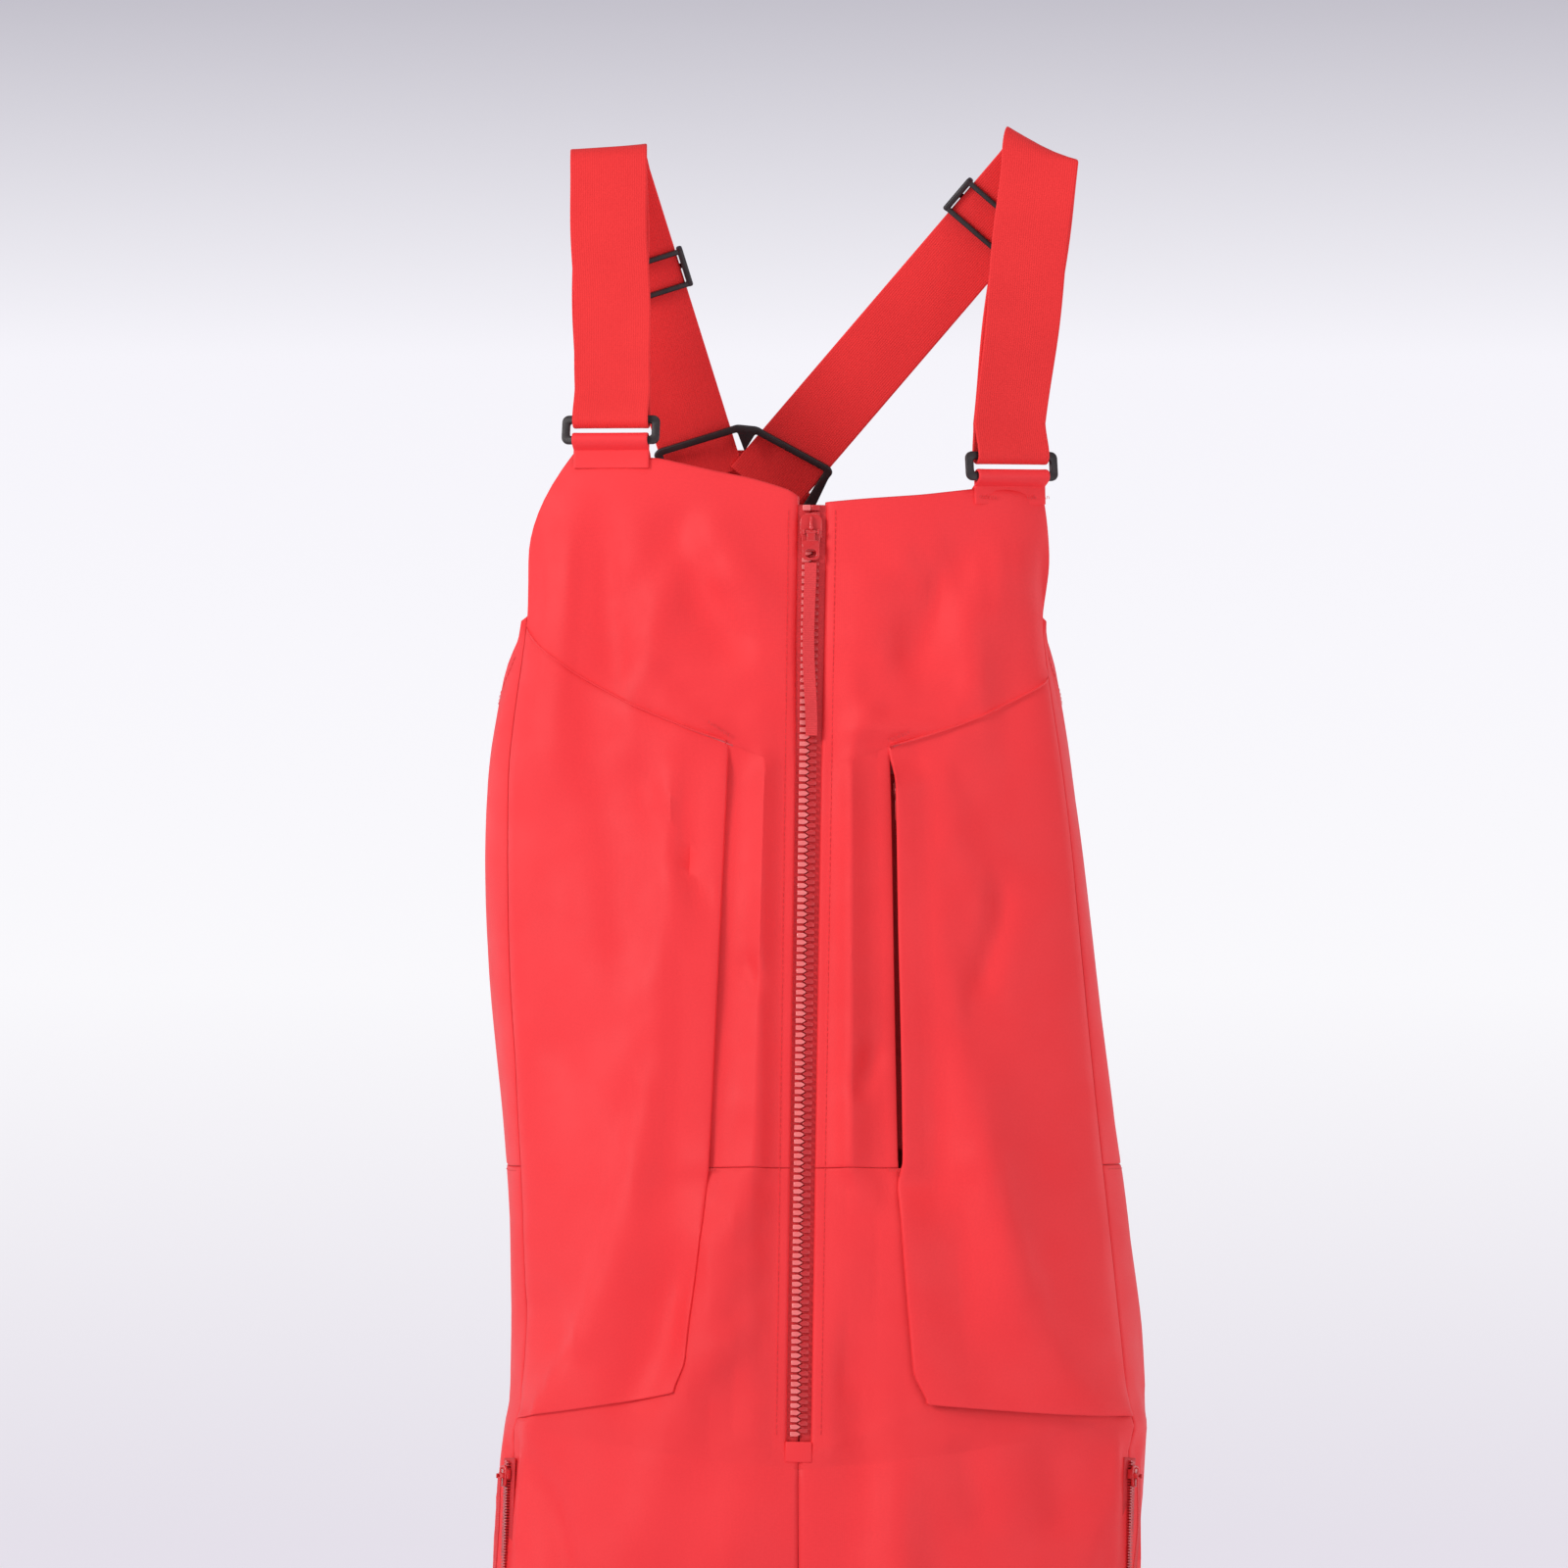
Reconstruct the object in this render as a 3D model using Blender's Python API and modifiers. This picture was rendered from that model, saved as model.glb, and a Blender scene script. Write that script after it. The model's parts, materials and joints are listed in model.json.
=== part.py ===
"""Ski bib pants, hanging by their two shoulder straps.

The pants face -Y, +X is the wearer's left and +Z is up. The origin is the hanging point, midway
between the two shoulder folds. Each fabric panel is a stretch of one body surface, made solid with
Solidify, and each strap is one length of webbing. The zips are built in frames of their own, whose
Z runs up the zip and whose Y points into the garment, so that a slider travels along a straight line.
"""

import math

import bmesh
import bpy
import numpy as np
from mathutils import Matrix, Vector

# Heights below the hanging point
ZIP_TOP = -0.178
WAIST = -0.505
ZIP_BOTTOM = -0.640
FORK = -0.652
CROTCH = -0.790
HEM = -1.550
BACK_TOP = -0.235
GAITER_TOP = -1.270
SCUFF_TOP = -1.340

# Cloth and webbing
SHELL = 0.0020
SEAM_GAP = 0.0015
SEAM_GAP_U = 0.0048
INSEAM_GAP_U = 0.0014
SEAM_DROP = 0.0022
WEB_WIDTH = 0.038
WEB_THICKNESS = 0.0013
WEB_LAYER_STEP = 0.0018

# Front line of the garment, along which the zip runs
FRONT_Y_AT_TOP = -0.045
FRONT_Y_SLOPE = 0.0974
FRONT_LEAN = 0.0136
FRONT_LEAN_ZERO = -0.405
PLACKET_EDGE = 0.0067
ROUNDNESS = 0.75

LEFT, RIGHT = 1, -1
SIDES = {"left": LEFT, "right": RIGHT}

# (height, half width from the front line to the outermost point), for each side of the wearer
HALF_WIDTH = {
    LEFT: [(-0.150, 0.123), (-0.240, 0.1235), (-0.290, 0.129), (-0.330, 0.136), (-0.460, 0.152),
           (-0.550, 0.1637), (-0.610, 0.171), (-0.850, 0.173), (HEM, 0.180)],
    RIGHT: [(-0.150, 0.150), (-0.240, 0.151), (-0.290, 0.159), (-0.330, 0.1615), (-0.400, 0.1585),
            (-0.505, 0.147), (-0.600, 0.143), (-0.700, 0.153), (-0.850, 0.164), (HEM, 0.178)],
}
BACK_DEPTH = [(-0.150, 0.045), (-0.240, 0.048), (-0.500, 0.085), (-0.660, 0.112), (CROTCH, 0.112)]
LEG_DEPTH = [(FORK, 0.105), (-0.850, 0.098), (-1.120, 0.084), (HEM, 0.078)]
LEG_INNER = [(CROTCH, 0.004), (-1.000, 0.008), (HEM, 0.014)]
SIDE_SEAM_U = [(-0.150, 0.362), (-0.650, 0.385), (-0.920, 0.395), (-1.150, 0.420), (HEM, 0.440)]
POCKET_X = [(-0.295, 0.0386), (WAIST, 0.0455), (-0.620, 0.0570)]

# The bib's outer edge, from the strap tab down the armhole: (x, height). It meets the side seam below.
ARMHOLE = {
    LEFT: [(0.1150, -0.1755), (0.1180, -0.1850), (0.1190, -0.2000)],
    RIGHT: [(0.1180, -0.1538), (0.1330, -0.1740), (0.1410, -0.1900)],
}
SIDE_SEAM_TOP = -0.230
YOKE_SEAM_SIDE_Z = {LEFT: -0.2640, RIGHT: -0.2389}
YOKE_SEAM_INNER_Z = {LEFT: -0.2978, RIGHT: -0.2954}
POCKET_CORNER_Z = {LEFT: -0.6208, RIGHT: -0.6145}
POCKET_SIDE_Z = {LEFT: -0.6280, RIGHT: -0.6295}

# Shoulder folds, rings and the back frame
SHOULDER = {LEFT: Vector((0.1163, 0.0, -0.0030)), RIGHT: Vector((-0.0972, 0.0, -0.0040))}
SHOULDER_TILT = {LEFT: math.radians(-29), RIGHT: math.radians(4)}
HANGER_RADIUS = 0.0065
RING_X = {LEFT: 0.1018, RIGHT: -0.0957}
RING_Z = {LEFT: -0.1600, RIGHT: -0.1422}
RING_WIDTH, RING_HEIGHT, RING_BAR, RING_THICKNESS = 0.049, 0.0145, 0.004, 0.0025
STRAP_LOOP_RADIUS = 0.0038
TAB_LOOP_RADIUS = 0.00315
BACK_END = {LEFT: Vector((-0.0225, 0.0480, -0.1707)), RIGHT: Vector((-0.0490, 0.0500, -0.1644))}
ADJUSTER_AT = {LEFT: 0.038, RIGHT: 0.060}
ADJUSTER_HALF = 0.0098
YOKE_APEX = Vector((-0.0288, 0.0360, -0.1383))
YOKE_LEAN = math.radians(14)
YOKE_TURN = math.radians(5.7)

# Zips: the chain is a ridge on a tape, and a slider stands in front of it
SMALL_CLEARANCE = 0.0003
TEETH_CLEARANCE = 0.0002
FRONT_ZIP = {"ridge": 0.0043, "tape": 0.0158, "plate": 0.0057, "length": 0.0190}
SIDE_ZIP = {"ridge": 0.0020, "tape": 0.0056, "plate": 0.0032, "length": 0.0105}
RIDGE_FRONT, RIDGE_BACK, TAPE_FRONT, TAPE_BACK = 0.0003, 0.0020, 0.0023, 0.0029
PLATE_THICKNESS = 0.0016
PULL_AXIS_Y = -0.0028
VENT_TOP, VENT_BOTTOM = -0.650, -0.880
VENT_HALF_U = 0.024
VENT_PROUD = 0.0006
VENT_RIBBON = 0.0520
POCKET_ZIP_TOP, POCKET_ZIP_BOTTOM = -0.312, -0.494
POCKET_MOUTH = 0.0042
POCKET_ZIP_AWAY = 0.0060
POCKET_ZIP_DEPTH = 0.0030

RED = (0.90, 0.055, 0.060, 1)
RED_DARK = (0.62, 0.030, 0.040, 1)
BLACK = (0.018, 0.014, 0.018, 1)
GREY = (0.30, 0.30, 0.32, 1)


# ---- scene helpers ----

def clear_scene():
    for obj in list(bpy.data.objects):
        bpy.data.objects.remove(obj)


def collection(name, helper=False):
    made = bpy.data.collections.new(name)
    made.hide_render = helper
    bpy.context.scene.collection.children.link(made)
    return made


def finish(name, mesh, color, roughness=0.7, metallic=0.0, parent=None, at=(0, 0, 0)):
    """Puts a mesh in the scene as a named piece with its own material, at a place under its parent."""
    obj = bpy.data.objects.new(name, mesh)
    material = bpy.data.materials.new(name)
    material.use_nodes = True
    shader = material.node_tree.nodes["Principled BSDF"]
    shader.inputs["Base Color"].default_value = color
    shader.inputs["Roughness"].default_value = roughness
    shader.inputs["Metallic"].default_value = metallic
    mesh.materials.append(material)
    PIECES.objects.link(obj)
    obj.parent = parent
    obj.location = at
    return obj


def empty(name, matrix):
    obj = bpy.data.objects.new(name, None)
    obj.matrix_world = matrix
    obj.hide_render = True
    HELPERS.objects.link(obj)
    return obj


def box_mesh(name, low, high):
    """A box between two corners."""
    shape = bmesh.new()
    bmesh.ops.create_cube(shape, size=1)
    low, high = Vector(low), Vector(high)
    place = Matrix.Translation((low + high) / 2) @ Matrix.Diagonal((*(high - low), 1))
    bmesh.ops.transform(shape, matrix=place, verts=shape.verts)
    mesh = bpy.data.meshes.new(name)
    shape.to_mesh(mesh)
    shape.free()
    return mesh


def cylinder_mesh(name, radius, half_length, segments=12):
    """A round bar along X, centred on the origin."""
    shape = bmesh.new()
    bmesh.ops.create_cone(shape, cap_ends=True, segments=segments, radius1=radius, radius2=radius,
                          depth=2 * half_length)
    bmesh.ops.rotate(shape, verts=shape.verts, matrix=Matrix.Rotation(math.pi / 2, 3, "Y"))
    mesh = bpy.data.meshes.new(name)
    shape.to_mesh(mesh)
    shape.free()
    return mesh


def union(name, meshes):
    """One mesh from several that overlap clearly."""
    first = bpy.data.objects.new(name + "_union", meshes[0])
    HELPERS.objects.link(first)
    others = []
    for number, mesh in enumerate(meshes[1:]):
        other = bpy.data.objects.new(f"{name}_union_{number}", mesh)
        HELPERS.objects.link(other)
        join = first.modifiers.new("join", "BOOLEAN")
        join.operation = "UNION"
        join.object = other
        others.append(other)
    graph = bpy.context.evaluated_depsgraph_get()
    made = bpy.data.meshes.new_from_object(first.evaluated_get(graph))
    made.name = name
    for obj in [first, *others]:
        bpy.data.objects.remove(obj)
    return made


def flat_frame(name, outlines, thickness):
    """A flat plate in the XZ plane, from an outer outline and its windows, as a closed mesh."""
    curve = bpy.data.curves.new(name, "CURVE")
    curve.dimensions = "2D"
    curve.fill_mode = "BOTH"
    curve.extrude = thickness / 2
    for outline in outlines:
        spline = curve.splines.new("POLY")
        spline.points.add(len(outline) - 1)
        for point, (x, z) in zip(spline.points, outline):
            point.co = (x, z, 0, 1)
        spline.use_cyclic_u = True
    source = bpy.data.objects.new(name + "_outline", curve)
    HELPERS.objects.link(source)
    graph = bpy.context.evaluated_depsgraph_get()
    mesh = bpy.data.meshes.new_from_object(source.evaluated_get(graph))
    bpy.data.objects.remove(source)
    shape = bmesh.new()
    shape.from_mesh(mesh)
    bmesh.ops.remove_doubles(shape, verts=shape.verts, dist=1e-6)
    bmesh.ops.rotate(shape, verts=shape.verts, matrix=Matrix.Rotation(math.pi / 2, 3, "X"))
    bmesh.ops.recalc_face_normals(shape, faces=shape.faces)
    shape.to_mesh(mesh)
    shape.free()
    return mesh


def rounded_rectangle(width, height, radius, steps=3):
    points = []
    for corner in range(4):
        cx = (width / 2 - radius) * (1 if corner in (0, 3) else -1)
        cz = (height / 2 - radius) * (1 if corner in (0, 1) else -1)
        for step in range(steps + 1):
            angle = math.pi / 2 * (corner + step / steps)
            points.append((cx + radius * math.cos(angle), cz + radius * math.sin(angle)))
    return points


# ---- the body surface ----

def at_height(stations, z):
    """The value at a height, between (height, value) stations listed from the top down."""
    heights = [-height for height, _ in stations]
    return float(np.interp(-z, heights, [value for _, value in stations]))


def ease(low, high, value):
    share = min(max((value - low) / (high - low), 0), 1)
    return share * share * (3 - 2 * share)


def front_x(z):
    return FRONT_LEAN * (min(max(z, -0.66), -0.15) - FRONT_LEAN_ZERO)


def front_y(z):
    return FRONT_Y_AT_TOP + FRONT_Y_SLOPE * (max(z, CROTCH) - ZIP_TOP)


def leg_share(u, z):
    """How far the surface has turned from torso to leg. The front and back lines run round the crotch."""
    fall = min(max((FORK - z) / (FORK - CROTCH), 0), 1)
    inner = 1 - math.sqrt(1 - fall * fall)
    outer = ease(0, 1, (FORK - z) / (FORK - CROTCH + 0.12))
    away = ease(0.0, 0.22, min(u, 1 - u)) if 0 <= u <= 1 else 0
    return inner * (1 - away) + outer * away


def body_point(side, u, z, inset=0.0):
    """A point of the surface: u runs from the front line (0) round the outside to the back line (1)."""
    width = at_height(HALF_WIDTH[side], z) - inset
    sine, cosine = math.sin(math.pi * u), math.cos(math.pi * u)
    depth = -front_y(z) if cosine > 0 else at_height(BACK_DEPTH, z)
    torso_x = width * abs(sine) ** ROUNDNESS
    torso_y = -math.copysign((depth - inset) * abs(cosine) ** ROUNDNESS, cosine)
    inner = at_height(LEG_INNER, z) + inset
    centre, radius = (inner + width) / 2, (width - inner) / 2
    leg_x = centre - radius * math.cos(2 * math.pi * u)
    leg_y = -(at_height(LEG_DEPTH, z) - inset) * math.sin(2 * math.pi * u)
    share = leg_share(u, z)
    x = torso_x * (1 - share) + leg_x * share
    y = torso_y * (1 - share) + leg_y * share
    return Vector((front_x(z) + side * x, y, z))


def u_at(side, x, z):
    """The u of a point of the torso's front at a distance from the front line."""
    share = min(x / at_height(HALF_WIDTH[side], z), 1)
    return math.asin(share ** (1 / ROUNDNESS)) / math.pi


def centre_seam_u(side, z):
    """The u of a panel's edge beside the centre seam, and beside the inner leg seam below it."""
    share = leg_share(0, z)
    return u_at(side, SEAM_GAP / 4, z) * (1 - share) + INSEAM_GAP_U * share


def edge_u(side, z):
    """The u of a panel's edge at the front line: beside the zip, then beside the centre seam."""
    if z >= ZIP_BOTTOM - 0.004:
        return u_at(side, PLACKET_EDGE, z)
    return centre_seam_u(side, z)


def back_edge_u(side, z):
    return 1 - centre_seam_u(side, z)


def seam_u(side, z, away):
    """The side seam's u, moved half a seam gap towards the front (-1) or the back (+1)."""
    return at_height(SIDE_SEAM_U, z) + away * SEAM_GAP_U


def normal_at(side, u, z):
    step = 0.004
    across = body_point(side, u + step, z) - body_point(side, u - step, z)
    down = body_point(side, u, z - step) - body_point(side, u, z + step)
    return (down.cross(across) * side).normalized()


# ---- panels ----

def spread(points, rows):
    """The points of an edge with more between them: rows gives the number of steps in each stretch."""
    made = [points[0]]
    for (a, b), count in zip(zip(points, points[1:]), rows):
        for step in range(1, count + 1):
            share = step / count
            made.append((a[0] + (b[0] - a[0]) * share, a[1] + (b[1] - a[1]) * share))
    return made


def panel(name, grid, side, color=RED, thickness=SHELL):
    """Cloth between rows of surface points, thick on its inner side."""
    shape = bmesh.new()
    rows = [[shape.verts.new(point) for point in row] for row in grid]
    for upper, lower in zip(rows, rows[1:]):
        for a, b, c, d in zip(upper, upper[1:], lower[1:], lower):
            shape.faces.new((a, b, c, d) if side == RIGHT else (d, c, b, a))
    mesh = bpy.data.meshes.new(name)
    shape.to_mesh(mesh)
    shape.free()
    obj = finish(name, mesh, color)
    solid = obj.modifiers.new("cloth thickness", "SOLIDIFY")
    solid.thickness = thickness
    solid.offset = -1
    solid.use_even_offset = False
    return obj


def ruled(side, inner, outer, columns, inset=0.0):
    """Rows of points between two edges given as (u, height)."""
    grid = []
    for (u0, z0), (u1, z1) in zip(inner, outer):
        row = []
        for column in range(columns + 1):
            share = column / columns
            row.append(body_point(side, u0 + (u1 - u0) * share, z0 + (z1 - z0) * share, inset))
        grid.append(row)
    return grid


def pocket_u(side, z, away=0.0):
    return u_at(side, at_height(POCKET_X, z) + away, z)


def chest_panel(name, side):
    """The bib above the waist: zip edge, top edge, armhole, slanting yoke seam and pocket mouth."""
    inner_z = YOKE_SEAM_INNER_Z[side]
    outer = [(u_at(side, x, z), z) for x, z in ARMHOLE[side]]
    outer += [(seam_u(side, z, -1), z) for z in (SIDE_SEAM_TOP, YOKE_SEAM_SIDE_Z[side])]
    mouth = POCKET_ZIP_AWAY - POCKET_MOUTH
    pocket = [(pocket_u(side, z, mouth), z) for z in (inner_z, -0.400, WAIST + SEAM_GAP)]
    outer = spread(outer + pocket, [1, 1, 2, 2, 4, 3, 3])
    inner_heights = [ZIP_TOP + 0.0006, -0.186, -0.196, -0.222, -0.245, -0.310, -0.400, WAIST + SEAM_GAP]
    inner = spread([(edge_u(side, z), z) for z in inner_heights], [1, 1, 2, 2, 4, 3, 3])
    panel(name, ruled(side, inner, outer, 6), side)


def pocket_panel(name, side):
    """The large pocket on the side of the front, below the yoke seam."""
    columns, rows = 6, 9
    grid = []
    corner_z = YOKE_SEAM_SIDE_Z[side] - SEAM_DROP
    for row in range(rows + 1):
        line = []
        for column in range(columns + 1):
            across, down = column / columns, row / rows
            top = (YOKE_SEAM_INNER_Z[side] - SEAM_DROP) * (1 - across) + corner_z * across
            bottom = POCKET_CORNER_Z[side] * (1 - across) + POCKET_SIDE_Z[side] * across
            z = top * (1 - down) + bottom * down
            mouth = POCKET_ZIP_AWAY + POCKET_MOUTH if z > WAIST - 0.030 else SEAM_GAP / 2
            u = pocket_u(side, z, mouth) * (1 - across) + seam_u(side, z, -1) * across
            line.append(body_point(side, u, z))
        grid.append(line)
    panel(name, grid, side)


def leg_front(name, side):
    """The front of the leg, from the waist beside the zip, under the pocket and down to the hem."""
    corner, side_z = POCKET_CORNER_Z[side] - SEAM_DROP, POCKET_SIDE_Z[side] - SEAM_DROP
    below = [-0.700, -0.745, -0.775, CROTCH, -0.830, -0.920, -1.020, -1.120, -1.220, -1.330, -1.440, HEM]
    steps = [3, 3, 2] + [1] * len(below)
    inner_heights = [WAIST, -0.580, ZIP_BOTTOM - 0.003, FORK] + below
    inner = spread([(edge_u(side, z), z) for z in inner_heights], steps)
    outer = [(pocket_u(side, z, -SEAM_GAP / 2), z) for z in (WAIST, -0.570, corner)]
    outer += [(seam_u(side, z, -1), z) for z in [side_z] + below]
    panel(name, ruled(side, inner, spread(outer, steps), 6), side)


def back_panel():
    """The upper back, in one piece from side seam to side seam."""
    heights = [BACK_TOP, -0.290, -0.350, -0.420, -0.470, WAIST + SEAM_GAP]
    columns = 6
    grid = []
    for z in heights:
        seams = {side: seam_u(side, z, 1) for side in (LEFT, RIGHT)}
        shares = [column / columns for column in range(columns + 1)]
        right = [body_point(RIGHT, seams[RIGHT] + (1 - seams[RIGHT]) * share, z) for share in shares]
        left = [body_point(LEFT, seams[LEFT] + (1 - seams[LEFT]) * share, z) for share in shares]
        grid.append(right + left[-2::-1])
    panel("back_panel", grid, RIGHT)


def leg_back(name, side):
    """The seat and the back of the leg."""
    heights = [WAIST, -0.560, -0.610, FORK, -0.700, -0.745, -0.775, CROTCH, -0.830, -0.920, -1.020,
               -1.120, -1.220, -1.330, -1.440, HEM]
    inner = [(seam_u(side, z, 1), z) for z in heights]
    outer = [(back_edge_u(side, z), z) for z in heights]
    panel(name, ruled(side, inner, outer, 7), side)


def scuff_guard(name, side):
    """A tough patch on the inside of the ankle, over the shell."""
    heights = [SCUFF_TOP, -1.400, -1.475, HEM]
    half = {SCUFF_TOP: 0.085, -1.400: 0.125, -1.475: 0.150, HEM: 0.160}
    inner = [(-half[z], z) for z in heights]
    outer = [(half[z], z) for z in heights]
    panel(name, ruled(side, inner, outer, 10, inset=-0.0034), side, BLACK, 0.0012)


def gaiter(name, side):
    """The snow gaiter, an elasticated sleeve inside the ankle."""
    heights = [GAITER_TOP, -1.360, -1.450, HEM + 0.020]
    columns = 16
    shape = bmesh.new()
    rings = []
    for z in heights:
        points = [body_point(side, column / columns, z, 0.0095) for column in range(columns)]
        rings.append([shape.verts.new(point) for point in points])
    for upper, lower in zip(rings, rings[1:]):
        for column in range(columns):
            a, b = upper[column], upper[(column + 1) % columns]
            c, d = lower[(column + 1) % columns], lower[column]
            shape.faces.new((a, b, c, d) if side == RIGHT else (d, c, b, a))
    mesh = bpy.data.meshes.new(name)
    shape.to_mesh(mesh)
    shape.free()
    obj = finish(name, mesh, GREY)
    solid = obj.modifiers.new("cloth thickness", "SOLIDIFY")
    solid.thickness = 0.0012
    solid.offset = -1


def gaiter_hook(name, side):
    """The wire hook that clips on a boot lace, below the front of the gaiter."""
    foot = body_point(side, 0.25, HEM + 0.020, 0.0101)
    box = union(name, [
        box_mesh(name, (-0.0060, -0.0006, -0.0040), (0.0060, 0.0006, -0.0004)),
        box_mesh(name + "_stem", (-0.0012, -0.0006, -0.0150), (0.0012, 0.0006, -0.0030)),
        box_mesh(name + "_lip", (-0.0012, -0.0006, -0.0150), (0.0012, 0.0040, -0.0138)),
    ])
    finish(name, box, GREY, 0.3, 1.0, at=foot)


def pocket_bag(name, side):
    """The pocket's bag, hanging free behind the pocket panel."""
    heights = [-0.325, -0.380, -0.440, -0.500, -0.560]
    inner = [(pocket_u(side, z, POCKET_ZIP_AWAY + 0.010), z) for z in heights]
    outer = [(seam_u(side, z, -1) - 0.030, z) for z in heights]
    panel(name, ruled(side, inner, outer, 5, inset=0.0062), side, RED_DARK)


# ---- webbing ----

def ribbon(name, centres, widths, color=RED, thickness=WEB_THICKNESS, roughness=0.65, parent=None):
    """A flat strip along a path: one width vector for each point, lofted and closed at its ends."""
    shape = bmesh.new()
    sections = []
    last = len(centres) - 1
    for number, (centre, width) in enumerate(zip(centres, widths)):
        tangent = centres[min(number + 1, last)] - centres[max(number - 1, 0)]
        across = tangent.cross(width).normalized() * (thickness / 2)
        half = width / 2
        corners = [centre - half - across, centre + half - across, centre + half + across,
                   centre - half + across]
        sections.append([shape.verts.new(corner) for corner in corners])
    for a, b in zip(sections, sections[1:]):
        for corner in range(4):
            after = (corner + 1) % 4
            shape.faces.new((a[corner], a[after], b[after], b[corner]))
    shape.faces.new(sections[0][::-1])
    shape.faces.new(sections[-1])
    bmesh.ops.recalc_face_normals(shape, faces=shape.faces)
    mesh = bpy.data.meshes.new(name)
    shape.to_mesh(mesh)
    shape.free()
    return finish(name, mesh, color, roughness, parent=parent)


def ring_frame(side):
    """The ring's place: X along it, Y into the garment, Z up the strap."""
    z = RING_Z[side]
    bib_z = z - RING_HEIGHT / 2 - 0.004
    u = u_at(side, abs(RING_X[side]) + side * -front_x(z), bib_z)
    along = body_point(side, u + 0.01, bib_z) - body_point(side, u - 0.01, bib_z)
    along.z = 0
    x_axis = along.normalized() * side
    centre = body_point(side, u, bib_z)
    centre = Vector((RING_X[side], centre.y - 0.001, z))
    up = SHOULDER[side] + Vector((0, -HANGER_RADIUS, -HANGER_RADIUS)) - centre
    up = (up - x_axis * up.dot(x_axis)).normalized()
    y_axis = up.cross(x_axis)
    return Matrix.Translation(centre) @ Matrix((x_axis, y_axis, up)).transposed().to_4x4()


def back_frame(side):
    """The back strap's place at the shoulder: X across it, Y away from the wearer, Z up it."""
    top = SHOULDER[side] + Vector((0, HANGER_RADIUS, -HANGER_RADIUS))
    up = (top - BACK_END[side]).normalized()
    y_axis = Vector((0, 1, 0))
    y_axis = (y_axis - up * y_axis.dot(up)).normalized()
    x_axis = y_axis.cross(up)
    return Matrix.Translation(top) @ Matrix((x_axis, y_axis, up)).transposed().to_4x4()


def shoulder_strap(name, side):
    """One length of webbing: adjuster, over the shoulder, round the ring, back over and to the yoke."""
    ring, back = ring_frame(side), back_frame(side)
    ring_across = ring.to_3x3() @ Vector((1, 0, 0))
    back_across = back.to_3x3() @ Vector((1, 0, 0))
    tilt = SHOULDER_TILT[side]
    top_across = Vector((math.cos(tilt), 0, math.sin(tilt)))
    bar = ring @ Vector((0, 0, RING_HEIGHT / 2 - RING_BAR / 2))
    hub = SHOULDER[side] - Vector((0, 0, HANGER_RADIUS))

    def blend(a, b, share):
        return (a * (1 - share) + b * share).normalized() * WEB_WIDTH

    def over(radius, first, last):
        """Over the hanger, from one angle to the other; 0 is behind and pi in front."""
        made = []
        for step in range(9):
            angle = first + (last - first) * step / 8
            place = hub + radius * Vector((0, math.cos(angle), math.sin(angle)))
            share = angle / math.pi
            if share < 0.5:
                width = blend(back_across, top_across, 2 * share)
            else:
                width = blend(top_across, Vector((1, 0, 0)), 2 * share - 1)
            made.append((place, width))
        return made

    def front(radius, side_of_bar):
        """Down the front from the hanger to beside the ring's bar."""
        start = hub + Vector((0, -radius, 0))
        close = bar + ring.to_3x3() @ Vector((0, side_of_bar * STRAP_LOOP_RADIUS, 0.0005))
        meet = bar + ring.to_3x3() @ Vector((0, side_of_bar * WEB_LAYER_STEP / 2, 0.016))
        made = []
        for step in range(1, 7):
            share = step / 7
            made.append((start.lerp(meet, share), blend(Vector((1, 0, 0)), ring_across, share)))
        made.append((meet, ring_across * WEB_WIDTH))
        made.append((close, ring_across * WEB_WIDTH))
        return made

    inner, outer = HANGER_RADIUS + WEB_THICKNESS / 2, HANGER_RADIUS + WEB_THICKNESS / 2 + WEB_LAYER_STEP
    sewn_end = ADJUSTER_AT[side] - 0.0200
    points = []
    for step in range(3):
        down = sewn_end * (1 - step / 2.5)
        place = back @ Vector((0, WEB_THICKNESS / 2 + WEB_LAYER_STEP, -down))
        points.append((place, back_across * WEB_WIDTH))
    points += over(outer, 0.25, math.pi - 0.1)
    points += front(outer, -1)
    for step in range(-2, 3):
        angle = step * math.pi / 6
        place = bar + ring.to_3x3() @ (STRAP_LOOP_RADIUS * Vector((0, math.sin(angle), -math.cos(angle))))
        points.append((place, ring_across * WEB_WIDTH))
    points += reversed(front(inner, 1))
    points += over(inner, math.pi - 0.1, 0.1)
    length = (back.translation - BACK_END[side]).length
    for step in range(1, 5):
        place = back @ Vector((0, WEB_THICKNESS / 2, -length * step / 4))
        points.append((place, back_across * WEB_WIDTH))
    ribbon(name, [p for p, _ in points], [w for _, w in points])


def strap_tab(name, side):
    """The fabric tab that holds the ring on the bib's top edge."""
    ring = ring_frame(side)
    across = ring.to_3x3() @ Vector((1, 0, 0)) * WEB_WIDTH
    bar = ring @ Vector((0, 0, -RING_HEIGHT / 2 + RING_BAR / 2))
    turn = ring.to_3x3()
    foot = 0.0062
    centres = [bar + turn @ Vector((0, -TAB_LOOP_RADIUS, -foot))]
    for step in range(7):
        angle = math.pi * step / 6
        centres.append(bar + turn @ (TAB_LOOP_RADIUS * Vector((0, -math.cos(angle), math.sin(angle)))))
    centres.append(bar + turn @ Vector((0, TAB_LOOP_RADIUS, -foot)))
    ribbon(name, centres, [across] * len(centres))


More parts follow.
